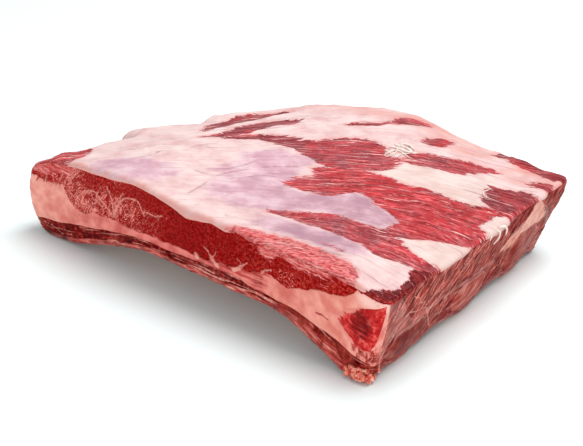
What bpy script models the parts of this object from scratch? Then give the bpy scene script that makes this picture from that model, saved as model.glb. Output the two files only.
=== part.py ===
"""Bone-in beef short rib: a square-cut slab of the plate with three ribs, lying bones down.

The slab is one curved block. A point in it has a place s along the ribs (0 at the thick end, 1 at
the sawn end), a place t across them (0 at the front cut, 1 at the back) and a height. Each layer
of meat, fat or bone is the part of that block between two of its height surfaces.
"""

import bmesh
import bpy
import numpy as np
from mathutils import Matrix

# Corners of the slab seen from above, x along the ribs and y across them.
FRONT_LEFT = (-0.167, -0.104)
FRONT_RIGHT = (0.151, -0.117)
BACK_RIGHT = (0.143, 0.109)
BACK_LEFT = (-0.088, 0.104)

# How far each side bows out of the straight line between its corners.
FRONT_BOW = 0.002
RIGHT_BOW = 0.002
BACK_BOW = 0.031
LEFT_BOW = 0.014
BACK_LEAN = 0.80
LEFT_LEAN = 0.90

# Heights of the upper face, and of the arch that the ribs make over the table.
SLAB_HEIGHT = 0.060
ARCH_HEIGHT = 0.0235
BACK_ARCH_LOSS = 0.40
SCALLOP_DEPTH = 0.0045

# Layers, from the table up.
PLEURA = 0.0038
FLANK_LEAN = 0.0075
RIB_HEIGHT = 0.0240
RIB_HALF_WIDTH = 0.0225
RIB_CENTRES = (-0.083, -0.009, 0.063)
RIB_SKEW = 0.008
SEAM_THICKNESS = 0.0045
THINNEST_LEAN = 0.0055

# The small muscle set in the fat at the front right corner: centre and half axes.
POCKET_CENTRE = (0.138, -0.120, 0.0425)
POCKET_RADII = (0.0155, 0.0100, 0.0130)

GAP = 0.0003

MEAT_COLOUR = (0.36, 0.03, 0.04)
MEAT_ROUGHNESS = 0.40
FAT_COLOUR = (0.80, 0.42, 0.32)
FAT_ROUGHNESS = 0.50
BONE_COLOUR = (0.42, 0.16, 0.13)
BONE_ROUGHNESS = 0.45
POCKET_COLOUR = (0.55, 0.03, 0.03)
POCKET_ROUGHNESS = 0.35

# How finely the block is cut up.
ALONG_CELLS = 18
RIB_TOP_SHARE = 0.55
RIB_CELLS = 2
FLANK_CELLS = 3
BETWEEN_CELLS = 4
LEAN_CELLS_UP = 3
SEAM_CELLS_UP = 3
SIDE_PROFILE = (0.55, 0.86, 1.0, 0.86, 0.55)


def ramp(start, end, value):
    """0 before start, 1 after end, and an even S curve between."""
    k = np.clip((value - start) / (end - start), 0, 1)
    return k * k * (3 - 2 * k)


def bump(value, centre, width):
    return np.exp(-(((value - centre) / width) ** 2))


def side_of_plan(start, end, k, bow, lean=1.0):
    """A point at share k of a side that bows out to the right of its run from start to end."""
    start, end = np.array(start), np.array(end)
    run = end - start
    outward = np.array([run[1], -run[0]]) / np.hypot(*run)
    swell = bow * np.sin(np.pi * k**lean)
    return start + run * k[..., None] + outward * swell[..., None]


def plan(s, t):
    """Ground position of (s, t), blended between the four bowed sides."""
    front = side_of_plan(FRONT_LEFT, FRONT_RIGHT, s, FRONT_BOW)
    back = side_of_plan(BACK_LEFT, BACK_RIGHT, s, -BACK_BOW, BACK_LEAN)
    left = side_of_plan(FRONT_LEFT, BACK_LEFT, t, -LEFT_BOW, LEFT_LEAN)
    right = side_of_plan(FRONT_RIGHT, BACK_RIGHT, t, RIGHT_BOW)
    u, v = s[..., None], t[..., None]
    near = (1 - u) * np.array(FRONT_LEFT) + u * np.array(FRONT_RIGHT)
    far = (1 - u) * np.array(BACK_LEFT) + u * np.array(BACK_RIGHT)
    ruled = (1 - v) * near + v * far
    return (1 - v) * front + v * back + (1 - u) * left + u * right - ruled


def rib_line(number, s):
    """The y of a rib's centre line at s."""
    return RIB_CENTRES[number] + RIB_SKEW * (1 - s)


def over_ribs(s, t, width):
    """1 above a rib's centre line, falling to 0 between ribs."""
    y = plan(s, t)[..., 1]
    return np.max([bump(y, rib_line(number, s), width) for number in range(3)], axis=0)


def underside(s, t):
    """The arch along the ribs, scalloped between them, and flat on the table at both ends."""
    along = FRONT_LEFT[0] + (FRONT_RIGHT[0] - FRONT_LEFT[0]) * s
    fall = np.where(along < 0, ramp(0.042, 0.160, -along), ramp(0.062, 0.147, along))
    inside = ramp(0.0, 0.08, t) * (1 - ramp(0.92, 1.0, t))
    scallop = SCALLOP_DEPTH * inside * (1 - over_ribs(s, t, 0.020))
    arch = ARCH_HEIGHT * (1 - fall) * (1 - BACK_ARCH_LOSS * ramp(0.25, 0.90, t))
    return arch + scallop


def upper_face(s, t):
    """The upper face: highest along the front cut, falling away towards the far left corner."""
    x, y = plan(s, t)[..., 0], plan(s, t)[..., 1]
    z = SLAB_HEIGHT + 0.014 * bump(x, -0.070, 0.075) * bump(y, -0.118, 0.150)
    z += 0.007 * ramp(-0.040, 0.050, x) * (1 - 0.7 * ramp(0.110, 0.151, x)) * bump(y, -0.118, 0.070)
    z += 0.005 * bump(x, 0.020, 0.090) * bump(y, 0.030, 0.080)
    z -= 0.002 * ramp(0.060, 0.147, x)
    z -= 0.010 * ramp(0.070, 0.150, 0.70 * y - 0.72 * x)
    z += 0.008 * ramp(0.55, 1, t) * (1 - ramp(0.25, 0.65, s))
    z -= 0.005 * ramp(0.50, 1, t) * ramp(0.50, 0.75, s) * (1 - ramp(0.88, 1, s))
    z -= 0.004 * (1 - ramp(0, 0.06, s)) * (1 - t)
    return z - 0.008 * (1 - ramp(0.015, 0.070, s)) * ramp(0.05, 0.15, t) * (1 - ramp(0.28, 0.36, t))


def seam_under(s, t):
    """Where the ribs and the meat between them end and the seam of fat begins."""
    inward = ramp(0.0, 0.10, t) * (1 - 0.5 * ramp(0.90, 1.0, t))
    crown = (RIB_HEIGHT - FLANK_LEAN) * inward * (0.8 + 0.2 * over_ribs(s, t, 0.024))
    corner = 0.004 * ramp(0.85, 1.0, s) * (1 - inward)
    return underside(s, t) + PLEURA + FLANK_LEAN + crown + corner


def seam_over(s, t):
    """The seam of fat is thick at the left end and the front right corner, thin elsewhere."""
    x = plan(s, t)[..., 0]
    front = 1 - ramp(0.02, 0.16, t)
    left_end = (0.031 - 0.018 * ramp(0.15, 0.60, t)) * (1 - ramp(0.080, 0.160, s))
    left_run = 0.008 * (1 - ramp(0.18, 0.40, s))
    right_run = 0.004 * ramp(0.55, 0.62, s) + 0.020 * ramp(0.74, 0.87, s)
    right_corner = 0.008 * ramp(0.88, 0.96, s)
    far_right = 0.009 * bump(t, 0.86, 0.12) * ramp(0.80, 1.0, s)
    extra = (left_run + right_run + right_corner) * front + left_end + far_right
    z = seam_under(s, t) + SEAM_THICKNESS + extra + 0.002 * bump(x, 0.030, 0.060)
    return np.minimum(z, upper_face(s, t) - THINNEST_LEAN)


def place(s, t, z):
    """The point at (s, t) and height z, with the lean and swell of the cut sides."""
    low, high = underside(s, t), upper_face(s, t)
    up = np.clip((z - low) / (high - low), 0, 1)
    x, y = plan(s, t)[..., 0], plan(s, t)[..., 1]
    x = x - (0.011 + 0.002 * ramp(0, 0.12, t)) * (1 - up) ** 1.6 * s**3
    x = x - 0.011 * np.sin(np.pi * up) * (1 - s) ** 5 * (1 - t)
    y = y - 0.010 * (1 - up) ** 2 * t**3 * s**2 - 0.003 * (1 - up) * (1 - t) ** 3 * s**3
    return np.stack([x, y, z], axis=-1)


def lattice_object(name, points, colour, roughness):
    """A closed solid from a lattice of points, index along, across and up: only its skin."""
    cells = [count - 1 for count in points.shape[:3]]
    numbers = np.arange(points[..., 0].size).reshape(points.shape[:3])
    sheets = [
        (numbers[:, :, -1], True),
        (numbers[:, :, 0], False),
        (numbers[0, :, :], False),
        (numbers[-1, :, :], True),
        (numbers[:, 0, :], True),
        (numbers[:, -1, :], False),
    ]
    faces = []
    for sheet, forward in sheets:
        a, b, c, d = sheet[:-1, :-1], sheet[1:, :-1], sheet[1:, 1:], sheet[:-1, 1:]
        halves = [np.stack(corners, -1).reshape(-1, 3) for corners in ([a, b, c], [a, c, d])]
        faces.append(np.concatenate(halves) if forward else np.concatenate(halves)[:, ::-1])
    faces = np.concatenate(faces)
    used, faces = np.unique(faces, return_inverse=True)
    mesh = bpy.data.meshes.new(name)
    mesh.from_pydata(points.reshape(-1, 3)[used].tolist(), [], faces.reshape(-1, 3).tolist())
    return finished_object(name, mesh, colour, roughness)


def finished_object(name, mesh, colour, roughness):
    obj = bpy.data.objects.new(name, mesh)
    bpy.context.scene.collection.objects.link(obj)
    material = bpy.data.materials.new(name)
    material.use_nodes = True
    shader = material.node_tree.nodes["Principled BSDF"]
    shader.inputs["Base Color"].default_value = (*colour, 1)
    shader.inputs["Roughness"].default_value = roughness
    shader.inputs["Metallic"].default_value = 0
    mesh.materials.append(material)
    mesh.shade_smooth()
    mesh.set_sharp_from_angle(angle=np.radians(40))
    return obj


def evenly(start, end, cells):
    """Evenly spaced values between two arrays, along a new last axis."""
    share = np.linspace(0, 1, cells + 1)
    return start[..., None] * (1 - share) + end[..., None] * share


def rib_span(number, s):
    """A rib's centre line, its half width and half the gap beside it, all in t."""
    front = side_of_plan(FRONT_LEFT, FRONT_RIGHT, s, FRONT_BOW)[..., 1]
    back = side_of_plan(BACK_LEFT, BACK_RIGHT, s, -BACK_BOW, BACK_LEAN)[..., 1]
    depth = back - front
    return (rib_line(number, s) - front) / depth, RIB_HALF_WIDTH / depth, 0.5 * GAP / depth


def stations():
    """Places along the ribs, closer together towards both ends."""
    k = np.linspace(0, 1, ALONG_CELLS + 1)
    return k - 0.08 * np.sin(2 * np.pi * k)


def bands(s):
    """The strips across the slab, front to back: each is a start, an end and a number of cells."""
    edges, front = [], np.zeros_like(s)
    for number in range(3):
        centre, half, _ = rib_span(number, s)
        cells = BETWEEN_CELLS if number else FLANK_CELLS
        edges.append((front, centre - RIB_TOP_SHARE * half, cells))
        edges.append((centre - RIB_TOP_SHARE * half, centre + RIB_TOP_SHARE * half, RIB_CELLS))
        front = centre + RIB_TOP_SHARE * half
    edges.append((front, np.ones_like(s), BETWEEN_CELLS))
    return edges


def full_width_layer(name, low, high, cells_up, colour, roughness):
    """A layer that runs the whole width of the slab, between two height surfaces."""
    s = stations()
    strips = [evenly(*band) for band in bands(s)]
    t = np.concatenate([strips[0]] + [strip[:, 1:] for strip in strips[1:]], axis=1)
    s = np.broadcast_to(s[:, None], t.shape)
    z = evenly(low(s, t), high(s, t), cells_up)
    s, t = np.broadcast_to(s[..., None], z.shape), np.broadcast_to(t[..., None], z.shape)
    return lattice_object(name, place(s, t, z), colour, roughness)


def strip(name, front_edge, back_edge, cells_across, colour, roughness):
    """A rib, or the meat beside one: front_edge and back_edge give its sides' t at each level."""
    s = stations()
    rows = []
    for level, share in zip(np.linspace(0, 1, len(SIDE_PROFILE)), SIDE_PROFILE):
        t = evenly(front_edge(s, share), back_edge(s, share), cells_across)
        along = np.broadcast_to(s[:, None], t.shape)
        low = underside(along, t) + PLEURA + GAP / 2
        high = seam_under(along, t) - GAP / 2
        rows.append(place(along, t, low * (1 - level) + high * level))
    return lattice_object(name, np.stack(rows, axis=2), colour, roughness)


def rib_wall(number, side, owner):
    """The t of a rib's front wall (side -1) or back wall (side 1), half a gap into its owner."""

    def wall(s, share):
        centre, half, gap = rib_span(number, s)
        inward = -side if owner == "rib" else side
        return centre + side * share * half + inward * gap

    return wall


def cut_face(t):
    """The front or back cut of the slab, as a straight wall at t."""
    return lambda s, share: np.full_like(s, t)


def make_ribs():
    for number in range(3):
        front, back = rib_wall(number, -1, "rib"), rib_wall(number, 1, "rib")
        strip(f"rib_{number + 1}", front, back, RIB_CELLS, BONE_COLOUR, BONE_ROUGHNESS)


def make_meat_between_ribs():
    """Four strips of meat: before the first rib, between the ribs, and beyond the last."""
    fronts = [cut_face(0)] + [rib_wall(number, 1, "meat") for number in range(3)]
    backs = [rib_wall(number, -1, "meat") for number in range(3)] + [cut_face(1)]
    cells = [FLANK_CELLS] + [BETWEEN_CELLS] * 3
    for number, (front, back, across) in enumerate(zip(fronts, backs, cells)):
        strip(f"between_ribs_{number + 1}", front, back, across, MEAT_COLOUR, MEAT_ROUGHNESS)


def ellipsoid(name, extra):
    """The pocket's own outline, larger by extra all round, as a guide for the cuts."""
    mesh = bpy.data.meshes.new(name)
    shape = bmesh.new()
    bmesh.ops.create_icosphere(shape, subdivisions=3, radius=1)
    size = Matrix.Diagonal([radius + extra for radius in POCKET_RADII]).to_4x4()
    shape.transform(Matrix.Translation(POCKET_CENTRE) @ size)
    shape.to_mesh(mesh)
    shape.free()
    guide = bpy.data.objects.new(name, mesh)
    bpy.context.scene.collection.objects.link(guide)
    guide.hide_render = True
    guide.display_type = "WIRE"
    return guide


def cut(obj, guide, operation):
    boolean = obj.modifiers.new(guide.name, "BOOLEAN")
    boolean.operation = operation
    boolean.object = guide


def make_seam_and_pocket():
    """The seam of fat, with the small muscle that sits in it at the front right corner."""
    def low(s, t):
        return seam_under(s, t) + GAP / 2

    def high(s, t):
        return seam_over(s, t) - GAP / 2

    seam = full_width_layer("seam_fat", low, high, SEAM_CELLS_UP, FAT_COLOUR, FAT_ROUGHNESS)
    pocket = finished_object("corner_muscle", seam.data.copy(), POCKET_COLOUR, POCKET_ROUGHNESS)
    cut(seam, ellipsoid("pocket_hole", GAP), "DIFFERENCE")
    cut(pocket, ellipsoid("pocket_outline", 0), "INTERSECT")


def make_upper_meat():
    def low(s, t):
        return seam_over(s, t) + GAP / 2

    full_width_layer("upper_lean", low, upper_face, LEAN_CELLS_UP, MEAT_COLOUR, MEAT_ROUGHNESS)


def make_pleura():
    """The skin of fat and membrane under the ribs, which the slab lies on."""
    def high(s, t):
        return underside(s, t) + PLEURA - GAP / 2

    full_width_layer("pleura_fat", underside, high, 1, FAT_COLOUR, FAT_ROUGHNESS)


def centre_on_origin():
    """Moves everything so that the origin is under the middle of the slab, on the table."""
    pieces = [obj for obj in bpy.data.objects if not obj.hide_render]
    points = np.array([vertex.co for piece in pieces for vertex in piece.data.vertices])
    low, high = points.min(axis=0), points.max(axis=0)
    shift = Matrix.Translation((-(low[0] + high[0]) / 2, -(low[1] + high[1]) / 2, -low[2]))
    for obj in bpy.data.objects:
        obj.data.transform(shift)


for startup_object in list(bpy.data.objects):
    bpy.data.objects.remove(startup_object)
make_pleura()
make_ribs()
make_meat_between_ribs()
make_seam_and_pocket()
make_upper_meat()
centre_on_origin()
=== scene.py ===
"""Bone-in beef short rib: the looks of a square-cut slab of beef plate, lying bones down.

Each section makes one piece, or one group of like pieces, in the order a butcher would find
them from the table up: bones, the meat between them, the membrane underneath, the fat seam,
the small corner muscle, the thick upper lean, and the fat cap with its torn patches of muscle.
"""

import math

import bmesh
import bpy
import numpy as np
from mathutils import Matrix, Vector


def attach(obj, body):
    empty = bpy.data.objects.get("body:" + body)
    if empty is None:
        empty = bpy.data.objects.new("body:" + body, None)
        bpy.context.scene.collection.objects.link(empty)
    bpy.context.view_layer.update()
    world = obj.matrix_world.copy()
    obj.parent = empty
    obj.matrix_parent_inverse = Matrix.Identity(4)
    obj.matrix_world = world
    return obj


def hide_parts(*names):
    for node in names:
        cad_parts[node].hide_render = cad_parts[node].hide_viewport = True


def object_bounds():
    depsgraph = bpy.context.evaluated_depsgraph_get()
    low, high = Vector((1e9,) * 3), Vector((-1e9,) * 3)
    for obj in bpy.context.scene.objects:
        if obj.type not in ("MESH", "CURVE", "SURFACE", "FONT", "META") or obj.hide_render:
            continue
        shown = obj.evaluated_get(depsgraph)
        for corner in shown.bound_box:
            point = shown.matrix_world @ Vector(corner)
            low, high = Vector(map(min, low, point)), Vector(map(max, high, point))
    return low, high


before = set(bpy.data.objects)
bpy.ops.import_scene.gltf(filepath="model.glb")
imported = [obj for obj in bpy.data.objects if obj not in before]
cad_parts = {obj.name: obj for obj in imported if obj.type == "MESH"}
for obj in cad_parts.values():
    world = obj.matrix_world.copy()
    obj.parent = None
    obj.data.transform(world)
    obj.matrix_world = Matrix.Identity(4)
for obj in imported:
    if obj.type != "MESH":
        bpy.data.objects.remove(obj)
cad_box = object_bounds()


# ---------------------------------------------------------------- rib bones
# Three flat ribs run the length of the slab, each left in its sleeve of tough brown-red meat.
# They are grown, not made: spongy bone with a thin hard rim, sawn straight through at both ends,
# and they lie side by side, bedded in the meat. All other layers are laid over their arch.

# A place in the slab is told by s, the share of the way along the ribs from left to right, by t,
# the share of the way across them from front to back, and by its height z in metres or w, the
# share of the slab's height there. The plan has four corners, and its sides bow out.
FRONT_LEFT, FRONT_RIGHT = (-0.167, -0.104), (0.151, -0.117)
BACK_RIGHT, BACK_LEFT = (0.143, 0.109), (-0.088, 0.104)
FRONT_BOW, RIGHT_BOW, BACK_BOW, LEFT_BOW = 0.002, 0.002, 0.031, 0.014
BACK_LEAN, LEFT_LEAN = 0.80, 0.90
CORNER_RADIUS = 0.006
WIDTH, DEPTH = 0.300, 0.222
SLAB_HEIGHT = 0.060
# The underside is arched along the ribs, less so at the back, and hollow between them.
ARCH_HEIGHT = 0.0235
BACK_ARCH_LOSS = 0.40
SCALLOP_DEPTH = 0.0045
# Thicknesses of the membrane and of the meat over the ribs' flanks.
PLEURA = 0.0038
FLANK_LEAN = 0.0075
# The ribs' section, where across the slab their middles are, and how far they run askew.
RIB_HEIGHT = 0.0240
RIB_HALF_WIDTH = 0.0225
SIDE_PROFILE = (0.55, 0.86, 1.0, 0.86, 0.55)
RIB_CENTRES = (-0.083, -0.009, 0.063)
RIB_SKEW = 0.008
# How far hidden faces reach into their neighbours, so that no gap shows between layers.
LAP = 0.0002


def ramp(start, end, value):
    """0 before start, 1 after end, and a smooth rise between."""
    k = np.clip((value - start) / (end - start), 0, 1)
    return k * k * (3 - 2 * k)


def bump(value, centre, width):
    """1 at the centre, falling off smoothly on both sides."""
    return np.exp(-(((value - centre) / width) ** 2))


def read_off(table, value):
    """What a table of pairs gives at a value, on the straight line between its rows."""
    return np.interp(value, *np.array(table).T)


def side_of_plan(start, end, k, bow, lean=1.0):
    """Points along one bowed side of the slab, k from 0 at start to 1 at end."""
    start, end = np.array(start), np.array(end)
    run = end - start
    outward = np.array([run[1], -run[0]]) / np.hypot(*run)
    swell = bow * np.sin(np.pi * np.clip(k, 0, 1) ** lean)
    return start + run * k[..., None] + outward * swell[..., None]


def plan(s, t):
    """Where the point s along the ribs and t across them is, seen from above."""
    front = side_of_plan(FRONT_LEFT, FRONT_RIGHT, s, FRONT_BOW)
    back = side_of_plan(BACK_LEFT, BACK_RIGHT, s, -BACK_BOW, BACK_LEAN)
    left = side_of_plan(FRONT_LEFT, BACK_LEFT, t, -LEFT_BOW, LEFT_LEAN)
    right = side_of_plan(FRONT_RIGHT, BACK_RIGHT, t, RIGHT_BOW)
    u, v = s[..., None], t[..., None]
    near = (1 - u) * np.array(FRONT_LEFT) + u * np.array(FRONT_RIGHT)
    far = (1 - u) * np.array(BACK_LEFT) + u * np.array(BACK_RIGHT)
    ruled = (1 - v) * near + v * far
    return (1 - v) * front + v * back + (1 - u) * left + u * right - ruled


def rib_line(number, s):
    """Where across the slab the middle of a rib runs."""
    return RIB_CENTRES[number] + RIB_SKEW * (1 - s)


def over_ribs(s, t, width):
    """1 over the middle of a rib, falling to 0 between ribs."""
    y = plan(s, t)[..., 1]
    return np.max([bump(y, rib_line(n, s), width) for n in range(3)], axis=0)


def underside(s, t):
    """The height of the arched underside."""
    along = FRONT_LEFT[0] + (FRONT_RIGHT[0] - FRONT_LEFT[0]) * s
    fall = np.where(along < 0, ramp(0.042, 0.160, -along), ramp(0.062, 0.147, along))
    inside = ramp(0.0, 0.08, t) * (1 - ramp(0.92, 1.0, t))
    scallop = SCALLOP_DEPTH * inside * (1 - over_ribs(s, t, 0.020))
    return ARCH_HEIGHT * (1 - fall) * (1 - BACK_ARCH_LOSS * ramp(0.25, 0.90, t)) + scallop


# Rises and dips of the torn upper edge, in millimetres, along the left end and along the back.
LEFT_EDGE = (
    (0, 0), (0.20, -1.5), (0.25, -2.5), (0.285, -4), (0.33, 3.5), (0.48, 2.5), (0.53, -1), (0.57, -3),
    (0.61, 0), (0.655, 4.5), (0.70, 2.5), (0.78, 1.5), (0.90, -1), (1, -6),
)  # fmt: skip
BACK_EDGE = (
    (0, -6), (0.04, -4), (0.10, 0), (0.30, -1), (0.40, -2), (0.45, -4.5), (0.50, -6.3), (0.55, -6.7),
    (0.60, -5.5), (0.65, -4), (0.70, -1), (0.75, 1.5), (0.80, 4), (0.85, 5), (0.90, 4.5), (1, 2),
)  # fmt: skip


def torn_edge(s, t):
    """How far the upper edge stands up or dips at the left end and the back."""
    left = read_off(LEFT_EDGE, t) * (1 - ramp(0, 0.10, s)) * (1 - ramp(0.95, 1, t))
    back = read_off(BACK_EDGE, s) * ramp(0.88, 1, t)
    return (left + back) / 1000


def upper_face(s, t):
    """The height of the upper face: a level with low humps and hollows in it."""
    x, y = plan(s, t)[..., 0], plan(s, t)[..., 1]
    # Humps at the front left, the front right and the middle.
    z = SLAB_HEIGHT + 0.014 * bump(x, -0.070, 0.075) * bump(y, -0.118, 0.150)
    z += 0.007 * ramp(-0.040, 0.050, x) * (1 - 0.7 * ramp(0.110, 0.151, x)) * bump(y, -0.118, 0.070)
    z += 0.005 * bump(x, 0.020, 0.090) * bump(y, 0.030, 0.080)
    # Falls towards the right end and the back left corner, which rises again at its very edge.
    z -= 0.002 * ramp(0.060, 0.147, x)
    z -= 0.010 * ramp(0.070, 0.150, 0.70 * y - 0.72 * x)
    z += 0.008 * ramp(0.55, 1, t) * (1 - ramp(0.25, 0.65, s))
    # Hollows along the back right and at the left end.
    z -= 0.005 * ramp(0.50, 1, t) * ramp(0.50, 0.75, s) * (1 - ramp(0.88, 1, s))
    z -= 0.004 * (1 - ramp(0, 0.06, s)) * (1 - t)
    z -= 0.008 * (1 - ramp(0.015, 0.070, s)) * ramp(0.05, 0.15, t) * (1 - ramp(0.28, 0.36, t))
    return z + torn_edge(s, t)


def share_of_height(s, t, z):
    """w, the share of the slab's height at which z is."""
    low = underside(s, t)
    return (z - low) / (upper_face(s, t) - low)


def height_at(s, t, w):
    """z, the height in metres of a share w of the slab's height."""
    low = underside(s, t)
    return low + (upper_face(s, t) - low) * w


# How high up the front wall the fat seam begins, as a share of the slab's height.
SEAM_FOOT = (
    (0, 0.19), (0.05, 0.215), (0.14, 0.22), (0.23, 0.21), (0.31, 0.18), (0.39, 0.17), (0.47, 0.20),
    (0.54, 0.22), (0.61, 0.24), (0.65, 0.23), (0.70, 0.18), (0.75, 0.17), (0.79, 0.21), (0.86, 0.25),
    (0.90, 0.27), (0.945, 0.25), (1, 0.22),
)  # fmt: skip
# How much higher it begins near the back of the right end, in millimetres.
FAR_RIGHT_FOOT = ((0.58, 0), (0.68, 8), (0.73, 9), (0.88, 8), (0.95, 4), (1, 0))


def seam_under(s, t):
    """The height at which the bones and the meat between them end and the fat seam begins."""
    inward = ramp(0.0, 0.10, t) * (1 - 0.5 * ramp(0.90, 1.0, t))
    crown = (RIB_HEIGHT - FLANK_LEAN) * inward * (0.8 + 0.2 * over_ribs(s, t, 0.024))
    corner = 0.004 * ramp(0.85, 1.0, s) * (1 - inward)
    far_right = read_off(FAR_RIGHT_FOOT, t) / 1000 * ramp(0.93, 0.99, s)
    z = underside(s, t) + PLEURA + FLANK_LEAN + crown + corner + far_right
    share = read_off(SEAM_FOOT, s)
    foot = underside(s, t) * (1 - share) + upper_face(s, t) * share
    return z + (foot - z) * (1 - ramp(0.005, 0.05, t))


def over_pleura(s, t):
    """The height at which the membrane ends and the bones and the meat between them begin."""
    return underside(s, t) + PLEURA


def soften(s, t):
    """Draws a point near one of the slab's four upright corners in, so that the corner is round."""
    x, y = np.minimum(s, 1 - s) * WIDTH, np.minimum(t, 1 - t) * DEPTH
    p, q = np.clip(1 - x / CORNER_RADIUS, 0, 1), np.clip(1 - y / CORNER_RADIUS, 0, 1)
    x = np.where(p > 0, CORNER_RADIUS * (1 - p * np.sqrt(1 - q * q / 2)), x)
    y = np.where(q > 0, CORNER_RADIUS * (1 - q * np.sqrt(1 - p * p / 2)), y)
    return np.where(s < 0.5, x / WIDTH, 1 - x / WIDTH), np.where(t < 0.5, y / DEPTH, 1 - y / DEPTH)


def lean_of_walls(s, t, z):
    """The point at s, t and height z, once the side walls have sagged in and out."""
    s, t = soften(s, t)
    up = np.clip(share_of_height(s, t, z), 0, 1)
    x, y = plan(s, t)[..., 0], plan(s, t)[..., 1]
    # The right end and the back lean in towards their feet, the front left corner swells out
    # halfway up, and the front right corner at its foot.
    x = x - (0.011 + 0.002 * ramp(0, 0.12, t)) * (1 - up) ** 1.6 * s**3
    x = x - 0.011 * np.sin(np.pi * up) * (1 - s) ** 5 * (1 - t)
    y = y - 0.010 * (1 - up) ** 2 * t**3 * s**2 - 0.003 * (1 - up) * (1 - t) ** 3 * s**3
    return np.stack([x, y, z], axis=-1)


def centring():
    """The move that brings the slab's own box onto the frame's box."""
    k = np.linspace(0, 1, 400)
    s = np.concatenate([k, 1 + 0 * k, k, 0 * k])
    t = np.concatenate([0 * k, k, 1 + 0 * k, k])
    walls = np.concatenate([lean_of_walls(s, t, height_at(s, t, w)) for w in np.linspace(0, 1, 21)])
    middle = (walls.min(0) + walls.max(0)) / 2
    wanted = (np.array(cad_box[0]) + np.array(cad_box[1])) / 2
    return np.array([wanted[0] - middle[0], wanted[1] - middle[1], cad_box[0][2] - walls[:, 2].min()])


MOVE = centring()


def place(s, t, z):
    """Where a point of the slab is in the frame, with two corners filled out a little."""
    up = np.clip(share_of_height(s, t, z), 0, 1)
    left = (1 - s) ** 12 * (1 - t) ** 9 * (1 - (2 * up - 1) ** 8)
    right = s**14 * t**8 * ramp(0.4, 0.9, up)
    out = np.stack([-0.0075 * left + 0.0045 * right, -0.001 * left + 0.001 * right, 0 * left], -1)
    return lean_of_walls(s, t, z) + MOVE + out


def grain(points, size, seed, octaves=3):
    """Smooth uneven noise from -1 to 1, whose lumps are about size metres across. The same seed
    always gives the same noise: the large odd numbers only scramble the places of its cells."""
    spots = np.array(points, float) / size
    total, weight = 0, 0
    for octave in range(octaves):
        cell = np.floor(spots).astype(np.int64)
        part = spots - cell
        part = part * part * (3 - 2 * part)
        value = 0
        for corner in range(8):
            step = np.array([corner & 1, corner >> 1 & 1, corner >> 2 & 1])
            key = ((cell + step) * (73856093, 19349663, 83492791)).sum(-1) + (seed + octave) * 2654435761
            key = key.astype(np.uint64) & np.uint64(0xFFFFFFFF)
            for turn in (15, 13):
                key = ((key ^ key >> np.uint64(turn)) * np.uint64(2246822519)) & np.uint64(0xFFFFFFFF)
            key = key ^ key >> np.uint64(16)
            share = np.where(step, part, 1 - part).prod(-1)
            value = value + share * (key.astype(float) / 2**31 - 1)
        total, weight = total + value / 2**octave, weight + 1 / 2**octave
        spots = spots * 2.03 + 17.3
    return total / weight * 1.4


def new_object(name, data):
    """Sets a new object into the scene."""
    obj = bpy.data.objects.new(name, data)
    bpy.context.scene.collection.objects.link(obj)
    return obj


class Skin:
    """The closed surface of one piece, gathered from grids and rings of points s, t and z."""

    def __init__(self):
        self.parts, self.faces, self.size = [], [], 0

    def add(self, s, t, z):
        """Adds points and returns their numbers, laid out as they are."""
        s, t, z = np.broadcast_arrays(s, t, z)
        self.parts.append(np.stack([s.ravel(), t.ravel(), z.ravel()], -1))
        index = self.size + np.arange(s.size).reshape(s.shape)
        self.size += s.size
        return index

    def grid(self, index):
        """Covers a grid of points with faces."""
        corners = [index[:-1, :-1], index[1:, :-1], index[1:, 1:], index[:-1, 1:]]
        self.faces.append(np.stack([c.ravel() for c in corners], -1))

    def band(self, ring, other):
        """Joins two closed rings of as many points."""
        self.grid(np.stack([np.append(ring, ring[0]), np.append(other, other[0])], -1))

    def around(self, values):
        """The outermost points of a grid, in order."""
        return np.concatenate([values[:-1, 0], values[-1, :-1], values[:0:-1, -1], values[0, :0:-1]])

    def zipper(self, fine, coarse):
        """Joins a ring to one with a quarter of its points."""
        fine, after = fine.reshape(-1, 4), np.roll(fine, -4).reshape(-1, 4)[:, 0]
        for k in range(3):
            self.faces.append(np.stack([fine[:, k], fine[:, k + 1], coarse], -1))
        self.faces.append(np.stack([fine[:, 3], after, coarse], -1))
        self.faces.append(np.stack([after, np.roll(coarse, -1), coarse], -1))

    def close_inside(self, ring, s, t, height):
        """Closes an outline with a coarse face that other layers hide."""
        last = None
        for k in (0.94, 0.75, 0.5, 0.25):
            ks, kt = 0.5 + (s[::4] - 0.5) * k, 0.5 + (t[::4] - 0.5) * k
            index = self.add(ks, kt, height(ks, kt))
            if last is None:
                self.zipper(ring, index)
            else:
                self.band(last, index)
            last = index
        half = np.array([0.5])
        centre = self.add(half, half, height(half, half))
        self.faces.append(np.stack([last, np.roll(last, -1), 0 * last + centre[0]], -1))

    def spots(self):
        """s, t and z of every point."""
        return np.concatenate(self.parts).T

    def piece(self, name):
        """The skin as a piece of the model, with all its faces pointing out."""
        mesh = bpy.data.meshes.new(name)
        faces = [f for group in self.faces for f in group.tolist()]
        mesh.from_pydata(place(*self.spots()).tolist(), [], faces)
        work = bmesh.new()
        work.from_mesh(mesh)
        bmesh.ops.recalc_face_normals(work, faces=work.faces)
        work.to_mesh(mesh)
        work.free()
        mesh.shade_smooth()
        return new_object(name, mesh)


def points_of(obj):
    """Where each point of a piece is."""
    co = np.empty(len(obj.data.vertices) * 3, np.float32)
    obj.data.vertices.foreach_get("co", co)
    return co.reshape(-1, 3).astype(float)


def lift(obj, height):
    """Moves each point out of the surface by its own height."""
    normals = np.empty(len(obj.data.vertices) * 3, np.float32)
    obj.data.vertex_normals.foreach_get("vector", normals)
    co = points_of(obj) + normals.reshape(-1, 3) * np.asarray(height)[:, None]
    obj.data.vertices.foreach_set("co", co.astype(np.float32).ravel())
    obj.data.update()


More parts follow.
